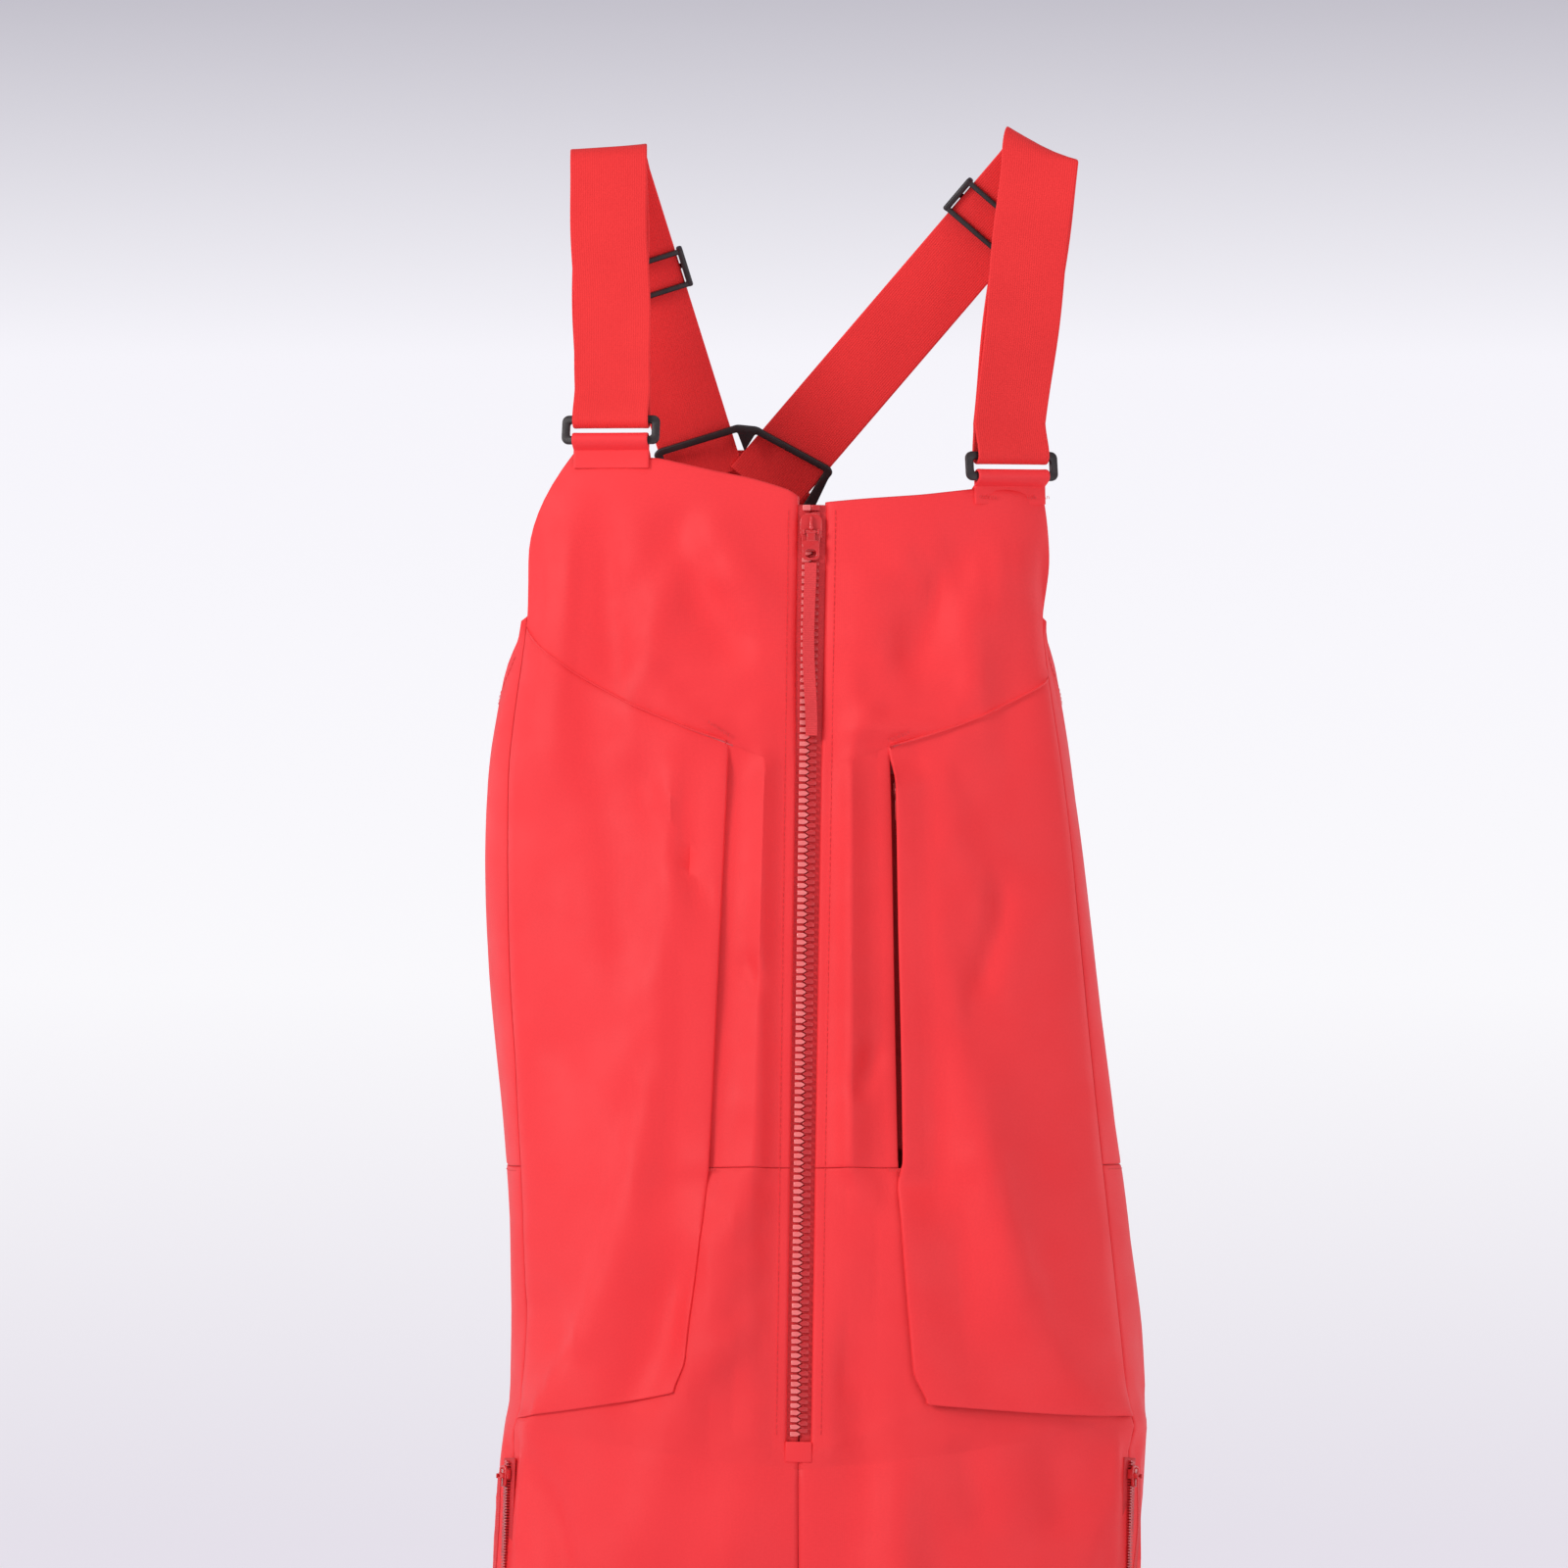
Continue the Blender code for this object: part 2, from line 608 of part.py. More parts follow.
def ring_loop(name, side):
    """The rectangular plastic ring, hung on its lower bar."""
    frame = empty(name + "_frame", ring_frame(side))
    height = RING_HEIGHT / 2 - RING_BAR / 2
    outer = [(x, z + height) for x, z in rounded_rectangle(RING_WIDTH, RING_HEIGHT, 0.003)]
    window = rounded_rectangle(RING_WIDTH - 2 * RING_BAR, RING_HEIGHT - 2 * RING_BAR, 0.001, 1)
    window = [(x, z + height) for x, z in window]
    mesh = flat_frame(name, [outer, window], RING_THICKNESS)
    finish(name, mesh, BLACK, 0.45, parent=frame, at=(0, 0, -height))


def adjuster(name, end_name, side):
    """The three-bar adjuster on the back strap, and the sewn end of the webbing round its middle bar."""
    top = back_frame(side) @ Matrix.Translation((0, 0, -ADJUSTER_AT[side]))
    frame = empty(name + "_frame", top)
    inside, outside = WEB_WIDTH / 2 + 0.0006, WEB_WIDTH / 2 + 0.0036
    back_face, front_face = -0.0032, 0.0050
    parts = [
        box_mesh(name + "_middle", (-inside - 0.001, 0.0034, -0.0013), (inside + 0.001, front_face, 0.0013)),
    ]
    for end in (-1, 1):
        low, high = sorted((end * ADJUSTER_HALF, end * (ADJUSTER_HALF - 0.0026)))
        parts.append(box_mesh(name + "_end", (-inside - 0.001, back_face, low), (inside + 0.001, -0.0008, high)))
        low, high = sorted((end * inside, end * outside))
        parts.append(box_mesh(name + "_rail", (low, back_face - 0.0002, -ADJUSTER_HALF - 0.0002),
                              (high, front_face + 0.0002, ADJUSTER_HALF + 0.0002)))
    finish(name, union(name, parts), BLACK, 0.45, parent=frame)
    near, far = WEB_THICKNESS + 0.0012, 0.0061
    path = [(near, 0.0185), (near, 0.0035)]
    middle, reach = (near + far) / 2, (far - near) / 2
    for step in range(1, 6):
        angle = math.pi * step / 6
        path.append((middle - reach * math.cos(angle), -0.0010 - reach * math.sin(angle)))
    path += [(far, 0.0030), (near + 0.0019, 0.0110), (near + 0.0019, 0.0175)]
    centres = [Vector((0, y, z)) for y, z in path]
    ribbon(end_name, centres, [Vector((WEB_WIDTH, 0, 0))] * len(centres), parent=frame)


def back_yoke():
    """The flat plastic frame where the two back straps meet."""
    outer = [(-0.0050, 0), (-0.0430, -0.0165), (-0.0450, -0.0195), (-0.0430, -0.0225), (-0.0340, -0.0480),
             (-0.0300, -0.0520), (0.0300, -0.0520), (0.0340, -0.0480), (0.0430, -0.0225),
             (0.0450, -0.0195), (0.0430, -0.0165), (0.0050, 0)]
    window = [(-0.0405, -0.0190), (-0.0045, -0.0036), (0.0, -0.0130), (0.0045, -0.0036),
              (0.0405, -0.0190), (0.0280, -0.0450), (-0.0280, -0.0450)]
    mesh = flat_frame("back_yoke", [outer, window], 0.0030)
    obj = finish("back_yoke", mesh, BLACK, 0.5, at=YOKE_APEX)
    obj.rotation_euler = (YOKE_LEAN, YOKE_TURN, 0)


def back_band():
    """The wide elastic from the yoke to the back panel, with the strap ends sewn on its inner face."""
    top = Vector((-0.0350, 0.0560, -0.1500))
    bottom = Vector((-0.0060, 0.0500, BACK_TOP + 0.0006))
    centres = [top.lerp(bottom, share) for share in (0, 0.35, 0.7, 1)]
    ribbon("back_band", centres, [Vector((0.0600, 0, 0))] * 4, color=RED, thickness=0.0016)


# ---- zips ----

def zip_frame(top, bottom, outward):
    up = (top - bottom).normalized()
    y_axis = -(outward - up * outward.dot(up)).normalized()
    x_axis = y_axis.cross(up)
    return Matrix.Translation(top) @ Matrix((x_axis, y_axis, up)).transposed().to_4x4()


def slider(name, kind, parent, z):
    """A slider: a plate before the chain, flanges beside it and two ears for the pull."""
    plate, half = kind["plate"], kind["length"] / 2
    ear_in, ear_out = plate * 0.50, plate * 0.74
    parts = [box_mesh(name, (-plate, -PLATE_THICKNESS, -half), (plate, 0, half))]
    for end in (-1, 1):
        low, high = sorted((end * (kind["ridge"] + 0.0004), end * plate))
        parts.append(box_mesh(name + "_flange", (low, -0.0004, -half + 0.001), (high, 0.0019, half - 0.001)))
        low, high = sorted((end * ear_in, end * ear_out))
        parts.append(box_mesh(name + "_ear", (low, PULL_AXIS_Y - 0.0010, -0.0012), (high, -0.0012, 0.0012)))
    return finish(name, union(name, parts), RED_DARK, 0.4, parent=parent, at=(0, 0, z))


def pull_tab(name, kind, parent, z, length, window=True):
    """The pull, hung between the slider's ears; its origin is on the hinge line."""
    barrel = kind["plate"] * 0.50 - SMALL_CLEARANCE
    half = kind["plate"] * 0.76
    neck = cylinder_mesh(name + "_barrel", 0.0008, barrel, 8)
    stem = box_mesh(name + "_stem", (-barrel * 0.8, -0.0004, -0.0045), (barrel * 0.8, 0.0004, -0.0001))
    outline = [(x, z_ - length / 2 - 0.0035) for x, z_ in rounded_rectangle(2 * half, length - 0.001, half * 0.5)]
    outlines = [outline]
    if window:
        hole = rounded_rectangle(1.2 * half, length * 0.35, half * 0.25, 2)
        outlines.append([(x, z_ - length * 0.70 - 0.0035) for x, z_ in hole])
    plate = flat_frame(name + "_plate", outlines, 0.0011)
    return finish(name, union(name, [neck, stem, plate]), RED_DARK, 0.4, parent=parent,
                  at=(0, PULL_AXIS_Y, z))


def ribbon_pull(name, parent, at, width, length):
    """A limp ribbon that hangs from a pull; its origin is on the hinge line."""
    mesh = box_mesh(name, (-width / 2, -0.0004, -length), (width / 2, 0.0004, -0.0006))
    return finish(name, mesh, RED, 0.6, parent=parent, at=at)


def front_zip():
    """The two-tape moulded zip down the front, its stops, slider, pull and ribbon."""
    top = Vector((front_x(ZIP_TOP), front_y(ZIP_TOP), ZIP_TOP))
    bottom = Vector((front_x(ZIP_BOTTOM), front_y(ZIP_BOTTOM), ZIP_BOTTOM))
    frame = empty("front_zip_frame", zip_frame(top, bottom, Vector((0, -1, 0))))
    length = (top - bottom).length
    kind = FRONT_ZIP
    for name, side in SIDES.items():
        low, high = sorted((side * 0.0004, side * kind["tape"]))
        tape = box_mesh("tape", (low, TAPE_FRONT, -length), (high, TAPE_BACK, -0.0010))
        finish(f"front_zip_tape_{name}", tape, RED_DARK, parent=frame)
        low, high = sorted((side * TEETH_CLEARANCE, side * kind["ridge"]))
        teeth = box_mesh("teeth", (low, RIDGE_FRONT, -length + 0.0020), (high, RIDGE_BACK, -0.0045))
        finish(f"front_zip_teeth_{name}", teeth, RED_DARK, 0.35, parent=frame)
        stop = box_mesh("stop", (low, RIDGE_FRONT, -0.0041), (high, RIDGE_BACK, -0.0012))
        finish(f"front_zip_stop_{name}", stop, RED_DARK, 0.35, parent=frame)
    flap = box_mesh("flap", (-0.0200, 0.0034, -length), (0.0200, 0.0046, -0.0010))
    finish("wind_flap", flap, RED, parent=frame)
    tack = box_mesh("tack", (-0.0062, RIDGE_FRONT, -length - 0.0024), (0.0062, RIDGE_BACK, -length + 0.0016))
    finish("front_zip_bottom_tack", tack, RED, parent=frame)
    rest = -0.0150
    slider("front_zip_slider", kind, frame, rest)
    tab = 0.0110
    pull_tab("front_zip_pull", kind, frame, rest, tab)
    ribbon_pull("front_zip_ribbon", frame, (0, PULL_AXIS_Y, rest - 0.0035 - tab - 0.0002), 0.0060, 0.0860)


def side_zip(name, top, bottom, outward, ribbon_length):
    """A narrow zip in one closed chain, its slider and its pull."""
    frame = empty(f"{name}_frame", zip_frame(top, bottom, outward))
    length = (top - bottom).length
    kind = SIDE_ZIP
    chain = union(name, [
        box_mesh(name, (-kind["ridge"], RIDGE_FRONT, -length), (kind["ridge"], TAPE_BACK - 0.0001, 0)),
        box_mesh(name + "_tape", (-kind["tape"], TAPE_FRONT, -length - 0.0010),
                 (kind["tape"], TAPE_BACK, 0.0010)),
    ])
    finish(name, chain, RED_DARK, parent=frame)
    rest = -0.0080
    slider(f"{name}_slider", kind, frame, rest)
    if ribbon_length:
        ribbon_pull(f"{name}_pull", frame, (0, PULL_AXIS_Y, rest), 0.0028, ribbon_length)
    else:
        pull_tab(f"{name}_pull", kind, frame, rest, 0.0120, window=False)


def vent_zip(name, side):
    """The thigh vent on the side seam. It stands on the cloth where the surface is fullest."""
    ends = [body_point(side, at_height(SIDE_SEAM_U, z), z) for z in (VENT_TOP, VENT_BOTTOM)]
    middle_z = (VENT_TOP + VENT_BOTTOM) / 2
    outward = normal_at(side, at_height(SIDE_SEAM_U, middle_z), middle_z)
    proud = 0.0
    for step in range(11):
        z = VENT_TOP + (VENT_BOTTOM - VENT_TOP) * step / 10
        chord = ends[0].lerp(ends[1], step / 10)
        for beside in (-VENT_HALF_U, 0, VENT_HALF_U):
            place = body_point(side, at_height(SIDE_SEAM_U, z) + beside, z)
            proud = max(proud, (place - chord).dot(outward))
    lift = outward * (proud + TAPE_BACK + VENT_PROUD)
    side_zip(name, ends[0] + lift, ends[1] + lift, outward, VENT_RIBBON)


def pocket_zip(name, side):
    """The pocket's zip, sunk in the mouth between the chest panel and the pocket panel."""
    middle_z = (POCKET_ZIP_TOP + POCKET_ZIP_BOTTOM) / 2
    outward = normal_at(side, pocket_u(side, middle_z, POCKET_ZIP_AWAY), middle_z)
    ends = []
    for z in (POCKET_ZIP_TOP, POCKET_ZIP_BOTTOM):
        on_cloth = body_point(side, pocket_u(side, z, POCKET_ZIP_AWAY), z)
        ends.append(on_cloth - outward * POCKET_ZIP_DEPTH)
    side_zip(name, ends[0], ends[1], outward, 0)


clear_scene()
PIECES = collection("ski_bib_pants")
HELPERS = collection("ski_bib_pants_guides", helper=True)

back_panel()
back_yoke()
back_band()
front_zip()
for wearer, hand in SIDES.items():
    chest_panel(f"chest_panel_{wearer}", hand)
    pocket_panel(f"pocket_panel_{wearer}", hand)
    leg_front(f"leg_front_{wearer}", hand)
    leg_back(f"leg_back_{wearer}", hand)
    scuff_guard(f"scuff_guard_{wearer}", hand)
    gaiter(f"gaiter_{wearer}", hand)
    gaiter_hook(f"gaiter_hook_{wearer}", hand)
    pocket_bag(f"pocket_bag_{wearer}", hand)
    shoulder_strap(f"shoulder_strap_{wearer}", hand)
    strap_tab(f"strap_tab_{wearer}", hand)
    ring_loop(f"ring_{wearer}", hand)
    adjuster(f"adjuster_{wearer}", f"strap_end_{wearer}", hand)
    vent_zip(f"vent_zip_{wearer}", hand)
    pocket_zip(f"pocket_zip_{wearer}", hand)
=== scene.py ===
"""The looks of a pair of ski bib pants that hang by their two shoulder straps.

All the cloth is cut from one settled surface: the body's shape, let down by a cloth simulation, with the
folds of the hanging garment laid over it. Straps, rings, zips and pulls are built in the places of the
frame's bodies. The pants face -Y, +X is the wearer's left and +Z is up, in metres.
"""

import json
import math

import bmesh
import bpy
import numpy as np
from mathutils import Matrix, Vector


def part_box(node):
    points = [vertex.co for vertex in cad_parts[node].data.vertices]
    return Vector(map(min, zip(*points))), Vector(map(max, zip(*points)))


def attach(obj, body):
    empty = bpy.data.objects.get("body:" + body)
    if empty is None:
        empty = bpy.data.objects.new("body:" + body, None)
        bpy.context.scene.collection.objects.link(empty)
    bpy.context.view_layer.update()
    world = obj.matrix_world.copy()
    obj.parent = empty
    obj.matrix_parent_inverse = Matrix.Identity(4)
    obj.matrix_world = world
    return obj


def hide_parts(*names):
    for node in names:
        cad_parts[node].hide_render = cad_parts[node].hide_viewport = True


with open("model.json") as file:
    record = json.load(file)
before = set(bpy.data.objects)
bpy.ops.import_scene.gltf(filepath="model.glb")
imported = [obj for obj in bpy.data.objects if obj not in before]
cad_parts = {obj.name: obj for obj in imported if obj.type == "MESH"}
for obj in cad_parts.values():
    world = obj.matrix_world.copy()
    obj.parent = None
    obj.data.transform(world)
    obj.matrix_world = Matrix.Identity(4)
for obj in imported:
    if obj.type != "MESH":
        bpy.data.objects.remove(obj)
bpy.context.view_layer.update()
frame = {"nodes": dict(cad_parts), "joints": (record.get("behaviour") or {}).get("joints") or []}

LEFT, RIGHT = 1, -1
SIDES = {"left": LEFT, "right": RIGHT}

# Heights below the hanging point
ZIP_TOP = -0.178
WAIST = -0.505
ZIP_BOTTOM = -0.640
FORK = -0.652
CROTCH = -0.790
HEM = -1.550
BACK_TOP = -0.235
GAITER_TOP = -1.270
SCUFF_TOP = -1.340
SIDE_SEAM_TOP = -0.230
KNEE = -1.075

# The front line of the garment, along which the zip runs
FRONT_Y_AT_TOP = -0.045
FRONT_Y_SLOPE = 0.0974
FRONT_LEAN = 0.0136
FRONT_LEAN_ZERO = -0.405
PLACKET_EDGE = {
    LEFT: [(ZIP_TOP, 0.0068), (ZIP_BOTTOM, 0.0056)],
    RIGHT: [(ZIP_TOP, 0.0060), (ZIP_BOTTOM, 0.0058)],
}
ROUNDNESS = 0.75

# (height, half width from the front line to the outermost point), for each side of the wearer
HALF_WIDTH = {
    LEFT: [(-0.150, 0.123), (-0.240, 0.1235), (-0.290, 0.129), (-0.330, 0.136), (-0.460, 0.152),
           (-0.550, 0.1637), (-0.610, 0.171), (-0.850, 0.173), (HEM, 0.180)],
    RIGHT: [(-0.150, 0.150), (-0.240, 0.151), (-0.290, 0.159), (-0.330, 0.1615), (-0.400, 0.1585),
            (-0.505, 0.147), (-0.600, 0.143), (-0.700, 0.153), (-0.850, 0.164), (HEM, 0.178)],
}
BACK_DEPTH = [(-0.150, 0.045), (-0.240, 0.048), (-0.500, 0.085), (-0.660, 0.112), (CROTCH, 0.112)]
LEG_DEPTH = [(FORK, 0.105), (-0.850, 0.098), (-1.120, 0.084), (HEM, 0.078)]
LEG_INNER = [(-0.815, 0.0002), (-0.850, 0.004), (-1.000, 0.008), (HEM, 0.014)]
SIDE_SEAM_U = [(-0.150, 0.362), (-0.650, 0.385), (-0.920, 0.395), (-1.150, 0.420), (HEM, 0.440)]
POCKET_X = [(-0.295, 0.0386), (WAIST, 0.0455), (-0.620, 0.0570)]
ARMHOLE = {
    LEFT: [(0.1150, -0.1755), (0.1180, -0.1850), (0.1190, -0.2000)],
    RIGHT: [(0.1180, -0.1538), (0.1330, -0.1740), (0.1410, -0.1900)],
}
# (distance from the front line, height) along the bib's top edge
TOP_EDGE = {
    LEFT: [(0.0, -0.1780), (0.0065, -0.1778), (0.026, -0.1760), (0.055, -0.1740), (0.084, -0.1707),
           (0.100, -0.1715), (0.118, -0.1760)],
    RIGHT: [(0.0, -0.1780), (0.0045, -0.1765), (0.0104, -0.1716), (0.030, -0.1658), (0.049, -0.1620),
            (0.075, -0.1560), (0.1180, -0.1538)],
}
# (u, height) along the back's top edge, from the side seam to the back line
BACK_EDGE = [(0.36, -0.2310), (0.42, -0.2480), (0.50, -0.2660), (0.60, -0.2600), (0.75, -0.2400),
             (0.85, BACK_TOP), (1.0, BACK_TOP)]
YOKE_SEAM_SIDE_Z = {LEFT: -0.2640, RIGHT: -0.2389}
YOKE_SEAM_INNER_Z = {LEFT: -0.2978, RIGHT: -0.2954}
POCKET_CORNER_Z = {LEFT: -0.6208, RIGHT: -0.6145}
POCKET_SIDE_Z = {LEFT: -0.6280, RIGHT: -0.6295}
VENT_TOP, VENT_BOTTOM = -0.650, -0.880
POCKET_ZIP_AWAY = 0.0060
POCKET_MOUTH = 0.0016

# Straps, rings and the frame where the back straps meet
WEB_WIDTH = 0.038
WEB_THICKNESS = 0.0013
WEB_LAYER_STEP = 0.0018
SHOULDER = {LEFT: Vector((0.1163, 0.0, -0.0030)), RIGHT: Vector((-0.0972, 0.0, -0.0040))}
SHOULDER_TILT = {LEFT: math.radians(-29), RIGHT: math.radians(4)}
HANGER_RADIUS = 0.0065
RING_X = {LEFT: 0.1018, RIGHT: -0.0957}
RING_Z = {LEFT: -0.1600, RIGHT: -0.1422}
RING_WIDTH, RING_HEIGHT, RING_BAR, RING_THICKNESS = 0.049, 0.0145, 0.004, 0.0025
STRAP_LOOP_RADIUS = 0.0038
STRAP_STEPS = 24
TAB_LOOP_RADIUS = 0.00315
BACK_END = {LEFT: Vector((-0.0225, 0.0480, -0.1707)), RIGHT: Vector((-0.0490, 0.0500, -0.1644))}
ADJUSTER_AT = {LEFT: 0.038, RIGHT: 0.060}
ADJUSTER_HALF = 0.0098
YOKE_APEX = Vector((-0.0288, 0.0360, -0.1383))
YOKE_LEAN, YOKE_TURN = math.radians(14), math.radians(5.7)

# Zips, in their own frames: X across, Y into the garment, Z up
FRONT_ZIP_TAPE = 0.0158
SIDE_ZIP = {"ridge": 0.0020, "tape": 0.0056, "plate": 0.0032, "length": 0.0105, "pitch": 0.0014}
TAPE_FRONT, TAPE_BACK = 0.0023, 0.0029
PULL_AXIS_Y = -0.0028
FRONT_REST, SIDE_REST = -0.0150, -0.0080
FRONT_TAB = 0.0110
TOOTH_PITCH = 0.0035
STOP_ROOM, TACK_ROOM = 0.0045, 0.0035
WIND_FLAP_HALF, WIND_FLAP_BACK = 0.0200, 0.0034
# (width, length, sway) of the pulls' ribbons
FRONT_RIBBON, VENT_RIBBON = (0.0060, 0.0860, -0.0016), (0.0028, 0.0520, 0.0016)

# Cloth
SHELL = 0.0009
GRID = 0.0042
SEAM = 0.0002
SEAM_U = 0.0004
STITCH, STITCH_GAP, THREAD = 0.0022, 0.0008, 0.00016
STITCHES_OUT = 0.0001
LINING = 0.0008
POCKET_BAG_INSET = 0.0064
SCUFF_OUT = 0.0016
SCUFF_HALF_U = [(SCUFF_TOP, 0.055), (-1.352, 0.080), (-1.400, 0.125), (-1.475, 0.150), (HEM, 0.160)]
GAITER_INSET = 0.0100
EDGE_TURN = (0.0022, 0.0009, 0.0002)
HEM_TURN = (0.0, 0.0003, 0.0012)
SETTLE_LIMIT = 0.010
SETTLE_FRAMES = 36
# Heights between which the cloth goes from free to held
TOP_HELD, BAND_HELD, POCKET_HELD = (-0.215, -0.185), (-0.27, -0.245), (-0.54, -0.51)
POCKET_HELD_TOP = -0.285
# Heights between which the long folds of the legs begin and are full
LEG_FOLDS = (-0.62, -1.25)
KNEE_REACH, SEAT, SEAT_REACH = 0.10, -0.74, 0.07
FLAP_OPEN = {LEFT: 0.0034, RIGHT: 0.0}
FLAP_PROUD = {LEFT: 0.0056, RIGHT: 0.0026}
FLAP_LOOSE = {LEFT: 0.0026, RIGHT: 0.0004}
METRES_PER_U = 0.42
YOKE_OVERLAP = 0.0014

# Folds on the front, each a valley (negative) or a ridge along a line: half width, height, (x, z) points
FOLDS = [
    (0.0034, -0.0026, [(-0.0592, -0.3099), (-0.0583, -0.3544), (-0.0476, -0.3829)]),
    (0.0080, 0.0030, [(-0.0680, -0.3000), (-0.0670, -0.3544), (-0.0580, -0.4050)]),
    (0.0050, -0.0022, [(-0.0307, -0.3989), (-0.0220, -0.4206)]),
    (0.0070, -0.0034, [(0.0965, -0.3573), (0.0979, -0.3800), (0.0858, -0.4264)]),
    (0.0060, -0.0024, [(0.0360, -0.4419), (0.0239, -0.4729)]),
    (0.0170, -0.0045, [(-0.1284, -0.3000), (-0.1284, -0.4000), (-0.1240, -0.4900)]),
    (0.0110, -0.0030, [(-0.0897, -0.2988), (-0.0708, -0.3375), (-0.0539, -0.3650)]),
    (0.0130, -0.0050, [(0.0225, -0.5700), (0.0270, -0.6400), (0.0317, -0.7600)]),
    (0.0140, 0.0050, [(0.0440, -0.6250), (0.0480, -0.7000), (0.0520, -0.8200)]),
    (0.0100, -0.0030, [(0.0771, -0.6334), (0.0897, -0.6900)]),
    (0.0110, -0.0030, [(0.1197, -0.6324), (0.1289, -0.6900)]),
    (0.0028, -0.0016, [(0.0534, -0.3000), (0.0545, -0.3130)]),
    (0.0028, -0.0014, [(0.0470, -0.3010), (0.0475, -0.3200)]),
    (0.0120, -0.0042, [(-0.0700, -0.1750), (-0.0480, -0.2250), (-0.0250, -0.2620)]),
    (0.0140, 0.0045, [(-0.0560, -0.1800), (-0.0330, -0.2200), (-0.0180, -0.2500)]),
    (0.0100, -0.0030, [(-0.1020, -0.1720), (-0.1000, -0.2300), (-0.0900, -0.2800)]),
    (0.0120, -0.0030, [(-0.1100, -0.2500), (-0.0980, -0.3400), (-0.0900, -0.4300)]),
    (0.0120, -0.0036, [(0.0850, -0.1900), (0.0620, -0.2350), (0.0450, -0.2750)]),
    (0.0130, 0.0034, [(0.0980, -0.1900), (0.0900, -0.2450), (0.0800, -0.2900)]),
    (0.0160, 0.0040, [(0.0880, -0.4300), (0.0960, -0.5100), (0.1050, -0.6000)]),
    (0.0150, -0.0036, [(0.0660, -0.4600), (0.0700, -0.5400), (0.0780, -0.6100)]),
    (0.0120, -0.0040, [(-0.0560, -0.5400), (-0.0720, -0.5900), (-0.0950, -0.6350)]),
    (0.0140, 0.0040, [(-0.0330, -0.4800), (-0.0400, -0.5500), (-0.0480, -0.6300)]),
    (0.0100, -0.0020, [(-0.1360, -0.5600), (-0.1180, -0.5950), (-0.0950, -0.6120)]),
    (0.0080, -0.0040, [(-0.1300, -0.6400), (-0.1180, -0.7100), (-0.1200, -0.8000)]),
    (0.0120, -0.0036, [(-0.0300, -0.6700), (-0.0420, -0.7600), (-0.0600, -0.8400)]),
]


# ---- materials ----

def new_material(name, color, roughness, metallic=0.0, sheen=0.0, coat=0.0):
    """A Principled material; everything that is the same all over is set on its sockets."""
    made = bpy.data.materials.new(name)
    made.use_nodes = True
    shader = made.node_tree.nodes["Principled BSDF"]
    values = {"Base Color": (*color, 1), "Roughness": roughness, "Metallic": metallic, "Sheen Weight": sheen,
              "Sheen Roughness": 0.4, "Coat Weight": coat,
              "Sheen Tint": (1.0, 0.55, 0.55, 1) if color[0] > 0.4 else (1, 1, 1, 1)}
    for socket, value in values.items():
        shader.inputs[socket].default_value = value
    return made, made.node_tree, shader


def mix_colors(tree, factor, first, second):
    """The first color at factor 0 and the second one at 1."""
    mix = tree.nodes.new("ShaderNodeMix")
    mix.data_type = "RGBA"
    tree.links.new(factor, mix.inputs["Factor"])
    mix.inputs["A"].default_value = (*first, 1)
    mix.inputs["B"].default_value = (*second, 1)
    return mix.outputs["Result"]


def map_range(tree, value, low, high, to_low=0.0, to_high=1.0):
    """The value's range from low to high, brought to another range."""
    node = tree.nodes.new("ShaderNodeMapRange")
    for socket, number in (("From Min", low), ("From Max", high), ("To Min", to_low), ("To Max", to_high)):
        node.inputs[socket].default_value = number
    tree.links.new(value, node.inputs["Value"])
    return node.outputs["Result"]


def vary(tree, where, scale, low, high, detail=3.0):
    """Noise over the piece, brought to the range between low and high."""
    noise = tree.nodes.new("ShaderNodeTexNoise")
    noise.inputs["Scale"].default_value = scale
    noise.inputs["Detail"].default_value = detail
    tree.links.new(where, noise.inputs["Vector"])
    return map_range(tree, noise.outputs["Fac"], 0.3, 0.7, low, high)


def threads(tree, where, pitch, direction, distortion=0.0):
    """A row of yarns, one for each pitch along U ("X") or V ("Y")."""
    wave = tree.nodes.new("ShaderNodeTexWave")
    wave.wave_type = "BANDS"
    wave.bands_direction = direction
    wave.wave_profile = "SIN"
    wave.inputs["Scale"].default_value = 2 * math.pi / (20 * pitch)
    wave.inputs["Distortion"].default_value = distortion
    wave.inputs["Detail Scale"].default_value = 3.0
    tree.links.new(where, wave.inputs["Vector"])
    return wave.outputs["Fac"]


def math_node(tree, operation, first, second):
    """One sum or product of numbers or sockets."""
    node = tree.nodes.new("ShaderNodeMath")
    node.operation = operation
    for socket, value in zip(node.inputs, (first, second)):
        if isinstance(value, (int, float)):
            socket.default_value = value
        else:
            tree.links.new(value, socket)
    return node.outputs["Value"]


def plus(tree, first, second, weight=None):
    """The sum of two values, with the second one weighted."""
    if weight is not None:
        second = math_node(tree, "MULTIPLY", second, weight)
    return math_node(tree, "ADD", first, second)


def bump(tree, shader, height, strength, distance):
    """Lets a height stand out of the surface; the distance is in metres."""
    node = tree.nodes.new("ShaderNodeBump")
    node.inputs["Strength"].default_value = strength
    node.inputs["Distance"].default_value = distance
    tree.links.new(height, node.inputs["Height"])
    tree.links.new(node.outputs["Normal"], shader.inputs["Normal"])


def cloth_places(tree):
    """A piece's UV, in metres along its threads, and its place in the garment."""
    coords = tree.nodes.new("ShaderNodeTexCoord")
    return coords.outputs["UV"], coords.outputs["Object"]


